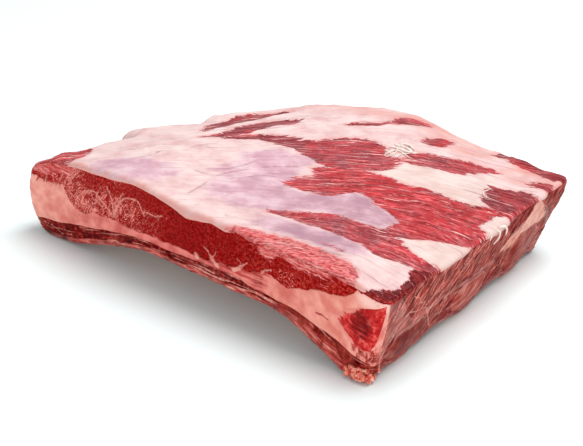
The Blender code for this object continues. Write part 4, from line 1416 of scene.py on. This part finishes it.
def trimmed_cap():
    """Trimmed fat cap: matt pink fat and glossier lavender silverskin, in places shaved through
    to wet red muscle whose fibres fray the ends of every bare patch."""
    numbers, places = "dusk cream rosy crease side lip", "fibre bare looks silver"
    material, add, read = new_material("trimmed fat cap with bare muscle", numbers, places)
    place_on = add("TexCoord")

    def along_fibres(length, width, shift, detail, distortion):
        """Streaks that follow the fibres, each pattern shifted so that no two line up."""
        size, start = (length, width, 1), (shift, shift, 0)
        return drawn_out(add, read["fibre"], size, detail, 0.62, distortion, start=start)

    # Bundles of fibres are 1.7 mm across and show for 18 mm, and streaks of fat 4.5 mm and 26 mm.
    # Hairs are 1.4 mm across, drawn coarse enough to show, and 45 mm long. Pools are 7 mm across.
    bundles = along_fibres(0.018, 0.0017, 0.1, 6, 0.7)
    streaks = along_fibres(0.026, 0.0045, 0.3, 5, 0.6)
    hairs = along_fibres(0.045, 0.0014, 0.5, 2, 0.4)
    pools = along_fibres(0.024, 0.0070, 0.7, 4, 0.8)
    clouds = add("TexNoise", Vector=(place_on, "Object"), Scale=55, Detail=5, Roughness=0.6)
    fine = add("TexNoise", Vector=(place_on, "Object"), Scale=600, Detail=3, Roughness=0.6)
    # The edges of a patch are looked up a little way along the fibres, streak by streak. The
    # three parts of the attribute are its depth behind, here and ahead, in millimetres.
    torn = add("Mix", data_type="FLOAT", A=streaks, B=bundles, Factor=0.45)
    shift = add("MapRange", Value=torn, From_Min=0.32, From_Max=0.68)
    short = along_fibres(0.0045, 0.0011, 0.9, 5, 0.3)
    wander = add("MapRange", Value=short, From_Min=0.3, From_Max=0.7, To_Min=-1.6, To_Max=1.6)
    there = {}
    for name, start, end in (("bare", -0.30, 0.30), ("silver", -5.0, 4.0)):
        parts = add("SeparateXYZ", Vector=read[name])
        depth = add("Mix", data_type="FLOAT", Factor=shift, A=(parts, "X"), B=(parts, "Z"))
        rough = add("Math", depth, wander, operation="ADD")
        there[name] = add("MapRange", **EASED, Value=rough, From_Min=start, From_Max=end)
    # Muscle is muted under a dry film, bright where freshly cut, and dark where it is thick.
    look = add("SeparateXYZ", Vector=read["looks"])
    stops = ((0.34, "#7E242D"), (0.45, "#92363F"), (0.56, "#A54A53"), (0.72, "#D58B90"))
    muted = add("ValToRGB", Fac=bundles, stops=stops)
    stops = ((0.34, "#92161C"), (0.45, "#B42A31"), (0.56, "#CA3E44"), (0.70, "#F08486"))
    fresh = add("ValToRGB", Fac=bundles, stops=stops)
    drift = add("MapRange", Value=clouds, From_Min=0.38, From_Max=0.62, To_Min=-0.45, To_Max=0.45)
    freshness = add("Math", (look, "X"), drift, operation="ADD")
    muscle = add("Mix", data_type="RGBA", Factor=freshness, A=muted, B=fresh)
    pooled = add("MapRange", Value=pools, From_Min=0.38, From_Max=0.62, To_Min=0.66, To_Max=1.16)
    muscle = add("Mix", data_type="RGBA", blend_type="MULTIPLY", A=muscle, B=pooled, Factor=1.0)
    thick = add("ValToRGB", Fac=bundles, stops=((0.38, "#4A0206"), (0.52, "#700A0E"), (0.70, "#A22C30")))
    muscle = add("Mix", data_type="RGBA", Factor=(look, "Y"), A=muscle, B=thick)
    # Short pale grain, pale lines in clusters where the muscle is thin, which are painted highlights along
    # the fibres, and a few dark lines.
    grainy = add("Math", (look, "Z"), 0.16, short, operation="MULTIPLY_ADD")
    pale_grain = add("MapRange", **EASED, Value=grainy, From_Min=0.55, From_Max=0.72, To_Max=0.8)
    muscle = add("Mix", data_type="RGBA", Factor=pale_grain, A=muscle, B="#F0928F")
    highlight_line = add("MapRange", **EASED, Value=hairs, From_Min=0.59, From_Max=0.65)
    cluster = add("MapRange", **EASED, Value=streaks, From_Min=0.46, From_Max=0.58, To_Min=0.1)
    thin = add("MapRange", Value=(look, "Y"), To_Min=1.0, To_Max=0.0)
    cluster = add("Math", cluster, thin, operation="MULTIPLY")
    highlight_line = add("Math", highlight_line, cluster, operation="MULTIPLY")
    # Painted highlights: pale lines along the fibres.
    muscle = add("Mix", data_type="RGBA", Factor=highlight_line, A=muscle, B="#F8D6D0")
    dark_line = add("MapRange", **EASED, Value=hairs, From_Min=0.40, From_Max=0.30, To_Max=0.35)
    muscle = add("Mix", data_type="RGBA", Factor=dark_line, A=muscle, B="#6A1820")
    # Fat is pink, creamier where thick, and lavender where the silverskin lies over it.
    pink = add("ValToRGB", Fac=clouds, stops=((0.34, "#D8B2B0"), (0.50, "#E4C7C5"), (0.64, "#EBD4D0")))
    cream = add("ValToRGB", Fac=clouds, stops=((0.34, "#DABDB5"), (0.60, "#E5D2CB")))
    fat = add("Mix", data_type="RGBA", Factor=read["cream"], A=pink, B=cream)
    blush = add("MapRange", **EASED, Value=streaks, From_Min=0.50, From_Max=0.68, To_Max=0.35)
    fat = add("Mix", data_type="RGBA", Factor=blush, A=fat, B="#D9A2A4")
    fat = add("Mix", data_type="RGBA", Factor=read["rosy"], A=fat, B="#DE9F97")
    parts = add("SeparateXYZ", Vector=read["bare"])
    near = add("MapRange", **EASED, Value=(parts, "Y"), From_Min=-3.5, From_Max=0.0, To_Max=0.4)
    fat = add("Mix", data_type="RGBA", Factor=near, A=fat, B="#DE9896")
    half = add("Mix", data_type="FLOAT", A=streaks, B=clouds, Factor=0.8)
    veil = add("MapRange", Value=half, From_Min=0.40, From_Max=0.60, To_Min=0.36, To_Max=0.66)
    stops = ((0.34, "#C698A6"), (0.46, "#D0A5B1"), (0.57, "#DAB4BE"), (0.68, "#E4C6CB"))
    light_skin = add("ValToRGB", Fac=veil, stops=stops)
    stops = ((0.34, "#B08695"), (0.46, "#BE93A0"), (0.57, "#CAA1AD"), (0.68, "#D8B4BE"))
    dusky_skin = add("ValToRGB", Fac=veil, stops=stops)
    skin_look = add("Mix", data_type="RGBA", Factor=read["dusk"], A=light_skin, B=dusky_skin)
    fat = add("Mix", data_type="RGBA", Factor=there["silver"], A=fat, B=skin_look)
    hair = add("MapRange", **EASED, Value=hairs, From_Min=0.59, From_Max=0.70, To_Max=0.6)
    fat = add("Mix", data_type="RGBA", Factor=hair, A=fat, B="#A87885")
    # The rim is thin enough for the lean below to redden it, most of all along its lip.
    rim = add("MapRange", Value=read["side"], To_Max=0.75)
    fat = add("Mix", data_type="RGBA", Factor=rim, A=fat, B="#E4A39A")
    ragged = add("Math", read["lip"], short, operation="ADD")
    lip = add("MapRange", **EASED, Value=ragged, From_Min=0.75, From_Max=1.35)
    fat = add("Mix", data_type="RGBA", Factor=lip, A=fat, B="#B8332E")
    whole = add("Mix", data_type="RGBA", Factor=there["bare"], A=fat, B=muscle)
    # Painted shade: folds and nicks are darkened to a grey violet.
    whole = add("Mix", data_type="RGBA", Factor=read["crease"], A=whole, B="#7E4650")
    # Where bare muscle turns over the rim it is as dark as the cut wall below it.
    wall = add("ValToRGB", Fac=fine, stops=((0.38, "#7E0304"), (0.50, "#A01817"), (0.64, "#D8645C")))
    keep = add("Math", (look, "Z"), -0.6, 1.0, operation="MULTIPLY_ADD")
    down = add("Math", read["side"], keep, operation="MULTIPLY")
    over = add("Math", there["bare"], down, operation="MULTIPLY")
    whole = add("Mix", data_type="RGBA", Factor=over, A=whole, B=wall)
    # Bare muscle is wetter and glossier than the fat, and its fibres stand up more.
    gloss = add("MapRange", Value=there["bare"], To_Min=0.5, To_Max=0.36)
    much = add("MapRange", Value=there["bare"], To_Min=0.25, To_Max=1.0)
    both = add("Math", pools, bundles, operation="ADD")
    height = add("Math", both, much, operation="MULTIPLY")
    relief = add("Bump", Height=height, Strength=0.5, Distance=0.0006)
    shader = add(
        "BsdfPrincipled", Base_Color=whole, Roughness=gloss, Normal=relief, IOR=1.42,
        Specular_IOR_Level=0.15, Subsurface_Weight=0.08, Subsurface_Radius=(1, 0.45, 0.35),
        Subsurface_Scale=0.0015,
    )
    add("OutputMaterial", Surface=shader)
    return material


skin, reach = sheet(
    face=upper_face,
    towards=-1,
    radius=CAP_ROUND,
    drape=cap_drape,
    cells=(310, 220),
    hidden=lambda s, t: upper_face(s, t) - CAP_ROUND - CAP_HIDDEN,
)
cap = skin.piece("fat_cap")
s, t, z = skin.spots()
places = plan(s, t)
along, across, way = grain_lines(places)
flat = np.stack([places[:, 0], places[:, 1], z], -1)
# The patches end in ragged points, so their outlines are looked up further along the fibres. They
# are calmer at the front right corner.
calm = ramp(0.86, 0.91, s) * (1 - ramp(0.20, 0.28, t))
ragged = RAGGED * (1 - 0.7 * calm) * grain(np.stack([along / 4, across, 0 * along], -1), 0.0045, 116)
aside = RAGGED_ASIDE * grain(flat, 0.0035, 117)
torn = places + way * ragged[:, None] + way[:, ::-1] * (-1, 1) * aside[:, None]
bare, looks = bare_field(torn)
fray = way * FRAY * (1 - 0.6 * calm[:, None])
bare_behind, bare_ahead = [bare_field(torn + fray * end)[0] for end in (-1, 1)]
silver = [patches(torn + way * (step + ragged[:, None]), SILVERSKIN) for step in (-FRAY, 0, FRAY)]
cream = ramp(-0.002, 0.003, patches(places, CREAM))
crease = np.zeros(len(s))
for line in CREASES:
    line = outline(line, plan, closed=False)
    ends = np.minimum(np.hypot(*(places - line[0]).T), np.hypot(*(places - line[-1]).T))
    crease = np.maximum(crease, bump(distance(places, line, closed=False), 0, 0.0007) * ramp(0, 0.006, ends))
# Over the front rim the pattern follows the surface down.
drop = np.maximum(0, upper_face(s, np.maximum(t, 0.05)) - z) * (t < 0.05)
fibre = np.stack([along, across - drop, z], -1)
# The fat stands 0.9 mm over the muscle. It is lumpy, and the muscle is ridged along its fibres.
fat_share = 1 - ramp(-0.0012, 0.0010, bare)
relief = 0.0009 * fat_share + 0.0010 * grain(flat, 0.026, 110) + 0.0004 * grain(flat, 0.007, 111)
relief += 0.0004 * grain(fibre / (9, 1, 1), 0.0022, 112, 2) * (1 - 0.6 * fat_share)
relief -= 0.0008 * crease
for at_s, at_t, size, rise in LUMPS:
    centre = plan(np.array([at_s]), np.array([at_t]))[0]
    away = np.hypot(*(places - centre).T)
    relief += rise * bump(away, 0, size) * (1 + 0.5 * grain(flat, 0.006, 113))
relief *= 1 - 0.6 * ramp(0.4, 1.0, reach)
lift(cap, (reach >= 0) * (relief + proud(reach) * np.where(reach < 0.8, 0.3 + 0.7 * fat_share, 1)))
note(cap, "bare", np.stack([bare_behind, bare, bare_ahead], -1) * 1000 * (1 + calm[:, None]))
note(cap, "looks", looks)
note(cap, "dusk", ramp(0.45, 0.75, s))
back_rosy = ramp(0.80, 0.98, t) * (0.8 + 1.0 * grain(fibre / (3, 1, 1), 0.008, 114))
rim_rosy = ramp(0.01, 0.5, reach) * (0.9 + 0.8 * grain(flat, 0.008, 115)) * (1 - 0.8 * ramp(0.92, 0.97, s))
note(cap, "rosy", np.clip(np.maximum(back_rosy, rim_rosy), 0, 0.95))
note(cap, "silver", np.stack(silver, -1) * 1000)
note(cap, "cream", cream)
note(cap, "crease", crease * 0.5)
note(cap, "side", ramp(0.0010, 0.0026, upper_face(s, t) - z) * ramp(0.5, 0.7, reach))
note(cap, "lip", ramp(0.70, 1.0, reach))
note(cap, "fibre", fibre)
cap.data.materials.append(trimmed_cap())
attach(cap, "root")
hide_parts("upper_lean")


# ------------------------------------------------------------- loose threads
# Threads of torn silverskin lie loose on the upper face, most of them in one tangle behind its
# middle, and a few hang over the top of the right end. Each is a strand swept along its line.

# Threads on the upper face: thickness in millimetres, then places along and across it.
LYING = (
    (1.3, [(0.582, 0.64), (0.574, 0.69), (0.593, 0.70), (0.632, 0.70)]),
    (1.1, [(0.548, 0.70), (0.571, 0.71), (0.597, 0.66)]),
    (2.2, [(0.543, 0.73), (0.564, 0.74), (0.585, 0.74), (0.612, 0.73)]),
    (1.8, [(0.544, 0.75), (0.560, 0.76), (0.579, 0.76), (0.600, 0.75)]),
    (1.0, [(0.611, 0.66), (0.601, 0.69), (0.608, 0.73)]),
    (1.9, [(0.575, 0.71), (0.600, 0.72), (0.616, 0.75)]),
    (2.4, [(0.556, 0.68), (0.566, 0.67), (0.580, 0.67)]),
    (0.9, [(0.876, 0.75), (0.872, 0.72), (0.885, 0.69), (0.903, 0.69)]),
)
# Threads over the right end: thickness, places across and up, and how far out they hang.
HANGING = (
    (1.7, [(0.560, 1.00, 0.5), (0.582, 0.99, 2.0), (0.592, 0.94, 3.0), (0.596, 0.85, 2.6)]),
    (1.4, [(0.545, 0.99, 0.6), (0.560, 0.95, 1.8), (0.556, 0.88, 2.0), (0.538, 0.82, 1.0)]),
    (1.1, [(0.500, 1.00, 0.4), (0.512, 0.96, 1.4), (0.507, 0.92, 1.1)]),
)


STRAND_SIDES = 8
THREAD_CELLS = 8


def new_shaping(name, number, kind):
    """Returns an empty node group that takes a guide, a number and a material, the function that
    adds its nodes, its group input, the function that ends it, and its inputs' identifiers."""
    tree = bpy.data.node_groups.new(name, "GeometryNodeTree")
    new_socket = tree.interface.new_socket
    new_socket("Geometry", in_out="INPUT", socket_type="NodeSocketGeometry")
    inputs = [
        new_socket(number, in_out="INPUT", socket_type=kind).identifier,
        new_socket("Material", in_out="INPUT", socket_type="NodeSocketMaterial").identifier,
    ]
    new_socket("Geometry", in_out="OUTPUT", socket_type="NodeSocketGeometry")
    add = new_tree(tree)
    given = tree.nodes.new("NodeGroupInput")

    def end_with(shape):
        """Gives the finished shape its material and hands it out."""
        finished = add("GeometryNodeSetMaterial", Geometry=shape, Material=(given, "Material"))
        tree.links.new(finished.outputs[0], tree.nodes.new("NodeGroupOutput").inputs[0])

    return tree, add, given, end_with, inputs


def shaped(name, places, edges, attribute, values, shaping, settings):
    """Runs a node group on a guide of points or lines, which keep one value each, and returns
    what it makes as a plain piece."""
    tree, inputs = shaping
    mesh = bpy.data.meshes.new(name + "_guide")
    mesh.from_pydata(places, edges, [])
    guide = new_object(name + "_guide", mesh)
    note(guide, attribute, values)
    shape = guide.modifiers.new("shape", "NODES")
    shape.node_group = tree
    for key, value in zip(inputs, settings):
        shape[key] = value
    guide.data.update()
    solved = guide.evaluated_get(bpy.context.evaluated_depsgraph_get())
    made = bpy.data.meshes.new_from_object(solved)
    guide.modifiers.remove(shape)
    bpy.data.objects.remove(guide)
    made.shade_smooth()
    return new_object(name, made)


def strand_shaping():
    """Sweeps a round strand along each line, as thick as the line's own radius says."""
    tree, add, given, end_with, inputs = new_shaping("strands", "Sides", "NodeSocketInt")
    line = add("GeometryNodeMeshToCurve", Mesh=(given, "Geometry"))
    ring = add("GeometryNodeCurvePrimitiveCircle", Resolution=(given, "Sides"), Radius=1.0)
    thickness = add("GeometryNodeInputNamedAttribute", data_type="FLOAT", Name="thickness")
    swept = add(
        "GeometryNodeCurveToMesh", Curve=line, Profile_Curve=ring, Scale=(thickness, "Attribute"),
        Fill_Caps=True,
    )
    end_with(add("GeometryNodeRealizeInstances", Geometry=swept))
    return tree, inputs


def torn_thread():
    """Thread of torn silverskin: tough, whitish and moist, a little pinker in spots."""
    material, add, _ = new_material("torn silverskin thread")
    place_on = add("TexCoord")
    # Spots are about 2.4 mm apart.
    spots = add("TexNoise", Vector=(place_on, "Object"), Scale=420, Detail=3)
    look = add("ValToRGB", Fac=spots, stops=((0.35, "#E6CCC4"), (0.62, "#FAEDE6")))
    shader = add("BsdfPrincipled", Base_Color=look, Roughness=0.4, IOR=1.45, Specular_IOR_Level=0.3)
    add("OutputMaterial", Surface=shader)
    return material


def laid_flat(a, b):
    """Places as they are, side by side."""
    return np.stack([a, b], -1)


places, edges, radii = [], [], []
top = points_of(cap)[reach == 0]
for width, points in HANGING + LYING:
    p = np.array(points)
    line = outline(p[:, :2], laid_flat, closed=False, steps=THREAD_CELLS)
    k = np.linspace(0, 1, len(line))
    if (width, points) in HANGING:
        t, w = line[:, 0], line[:, 1]
        s = 0 * t + 1
        out = np.interp(k, np.linspace(0, 1, len(p)), p[:, 2]) / 1000
        at = place(s, t, height_at(s, t, w)) + np.stack([out, 0 * out, 0 * out], -1)
        root = 1.3
    else:
        s, t = line[:, 0], line[:, 1]
        at = place(s, t, upper_face(s, t))
        below = np.hypot(top[:, :1] - at[:, 0], top[:, 1:2] - at[:, 1]).argmin(0)
        wave = grain(np.stack([s * WIDTH, t * DEPTH, 0 * s + width], -1), 0.006, 118)
        at[:, 2] = top[below, 2] + 0.0003 + 0.0004 * (1 + wave)
        root = 0.3
    edges += [(len(places) + i, len(places) + i + 1) for i in range(len(line) - 1)]
    places += at.tolist()
    radii += (width / 2000 * np.interp(k, [0, 0.2, 0.8, 1], [root, 1, 0.8, 0.3])).tolist()
settings = (STRAND_SIDES, torn_thread())
threads = shaped("torn_silverskin", places, edges, "thickness", radii, strand_shaping(), settings)
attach(threads, "root")


# ------------------------------------------------------------- fat nodules
# Small soft lumps of fat and scraped meat cling to the foot of the front right corner, where the
# saw came out. Each is a ball made uneven, and they run into each other.

UNEVENNESS = 0.008
# Place along, across and up, and size in millimetres.
NODULES = (
    (0.940, 0.0, 0.05, 2.0), (0.948, 0.0, 0.02, 2.6), (0.955, 0.0, 0.06, 2.2), (0.963, 0.0, 0.02, 3.0),
    (0.970, 0.0, 0.07, 2.4), (0.977, 0.0, 0.03, 3.0), (0.984, 0.0, 0.09, 2.4), (0.990, 0.0, 0.02, 2.8),
    (0.997, 0.004, 0.07, 2.4), (0.966, 0.0, 0.12, 1.8), (0.950, 0.0, 0.11, 1.5), (0.978, 0.0, 0.14, 1.7),
    (0.992, 0.0, 0.15, 1.5), (1.0, 0.02, 0.03, 2.0), (1.0, 0.04, 0.09, 1.4), (0.93, 0.0, 0.03, 1.6),
)  # fmt: skip


def nodule_shaping():
    """Sets a small ball at each point, as big as the point says, and makes them all uneven."""
    tree, add, given, end_with, inputs = new_shaping("nodules", "Unevenness", "NodeSocketFloat")
    ball = add("GeometryNodeMeshIcoSphere", Radius=1.0, Subdivisions=4)
    size = add("GeometryNodeInputNamedAttribute", data_type="FLOAT", Name="size")
    balls = add(
        "GeometryNodeInstanceOnPoints", Points=(given, "Geometry"), Instance=(ball, "Mesh"),
        Scale=(size, "Attribute"),
    )
    real = add("GeometryNodeRealizeInstances", Geometry=balls)
    at = add("GeometryNodeInputPosition")
    lumps = add("TexNoise", Vector=at, Scale=330, Detail=4)
    level = add("Math", lumps, 0.5, operation="SUBTRACT")
    much = add("Math", level, (given, "Unevenness"), operation="MULTIPLY")
    normal = add("GeometryNodeInputNormal")
    push = add("VectorMath", normal, operation="SCALE", Scale=much)
    end_with(add("GeometryNodeSetPosition", Geometry=real, Offset=push))
    return tree, inputs


def nodule_fat():
    """Soft scraped fat: orange beige, wet, with red meat showing through in spots."""
    material, add, _ = new_material("scraped fat nodules")
    place_on = add("TexCoord")
    # Spots are about 3 mm apart.
    spots = add("TexNoise", Vector=(place_on, "Object"), Scale=300, Detail=4, Roughness=0.6)
    stops = ((0.40, "#B82A22"), (0.48, "#DA6252"), (0.56, "#F2957F"), (0.68, "#FFCBB4"))
    look = add("ValToRGB", Fac=spots, stops=stops)
    shader = add("BsdfPrincipled", Base_Color=look, Roughness=0.36, IOR=1.45, Specular_IOR_Level=0.35)
    add("OutputMaterial", Surface=shader)
    return material


s, t, w, size = np.array(NODULES).T
size = size / 1000
at = place(s, t, height_at(s, t, w))
# None of them reaches below the table.
at[:, 2] = np.maximum(at[:, 2], size * 1.1 + 0.0012)
settings = (UNEVENNESS, nodule_fat())
nodules = shaped("fat_nodules", at.tolist(), [], "size", size, nodule_shaping(), settings)
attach(nodules, "root")


# ------------------------------------------------------ table, light, camera
# The slab lies on a white sweep under one wide soft light from above, with white all round to
# fill the shadows and a low wide light by the camera.


def white_card():
    """Matt white card: an even pale ground that takes a soft shadow."""
    material, add, _ = new_material("matt white card")
    place_on = add("TexCoord")
    fibre = add("TexNoise", Vector=(place_on, "Object"), Scale=900)
    tint = add("ValToRGB", Fac=fibre, stops=((0.3, "#EFFAFA"), (0.7, "#F2FDFD")))
    shader = add("BsdfPrincipled", Base_Color=tint, Roughness=0.9, Specular_IOR_Level=0.1)
    add("OutputMaterial", Surface=shader)
    return material


FLOOR_HALF = 4.0
corners = [(FLOOR_HALF * x, FLOOR_HALF * y, 0) for x, y in ((-1, -1), (1, -1), (1, 1), (-1, 1))]
floor_mesh = bpy.data.meshes.new("floor")
floor_mesh.from_pydata(corners, [], [(0, 1, 2, 3)])
floor = new_object("floor", floor_mesh)
floor.data.materials.append(white_card())

world = bpy.data.worlds.new("white studio")
world.use_nodes = True
world.node_tree.nodes["Background"].inputs["Color"].default_value = (1, 1, 1, 1)
world.node_tree.nodes["Background"].inputs["Strength"].default_value = 0.50
bpy.context.scene.world = world


SLAB_MIDDLE = (0, 0, 0.03)


def soft_light(name, size, power, position):
    """A round soft box that faces the slab."""
    data = bpy.data.lights.new(name, "AREA")
    data.shape, data.size, data.energy = "DISK", size, power
    lamp = new_object(name, data)
    lamp.location = position
    away = Vector(position) - Vector(SLAB_MIDDLE)
    lamp.rotation_euler = away.to_track_quat("Z", "Y").to_euler()


soft_light("overhead", 1.6, 43, (0.38, 0.58, 2.15))
soft_light("low fill", 1.7, 20, (1.3, -2.2, 0.6))

# The camera looks down along the front right corner through a 74 mm lens.
VIEW_AZIMUTH, VIEW_ELEVATION = math.radians(39.1), math.radians(25.7)
VIEW_DISTANCE = 0.8592
VIEW_TARGET = (-0.00416, -0.01382, 0.02417)
camera = new_object("camera", bpy.data.cameras.new("camera"))
camera.data.sensor_width, camera.data.lens = 36, 74.1
level = math.cos(VIEW_ELEVATION)
back = Vector((math.sin(VIEW_AZIMUTH) * level, -math.cos(VIEW_AZIMUTH) * level, math.sin(VIEW_ELEVATION)))
camera.location = Vector(VIEW_TARGET) + Vector(MOVE) + back * VIEW_DISTANCE
camera.rotation_euler = back.to_track_quat("Z", "Y").to_euler()
camera.data.clip_start, camera.data.clip_end = 0.01, 50
bpy.context.scene.camera = camera
bpy.context.scene.view_settings.view_transform = "Standard"
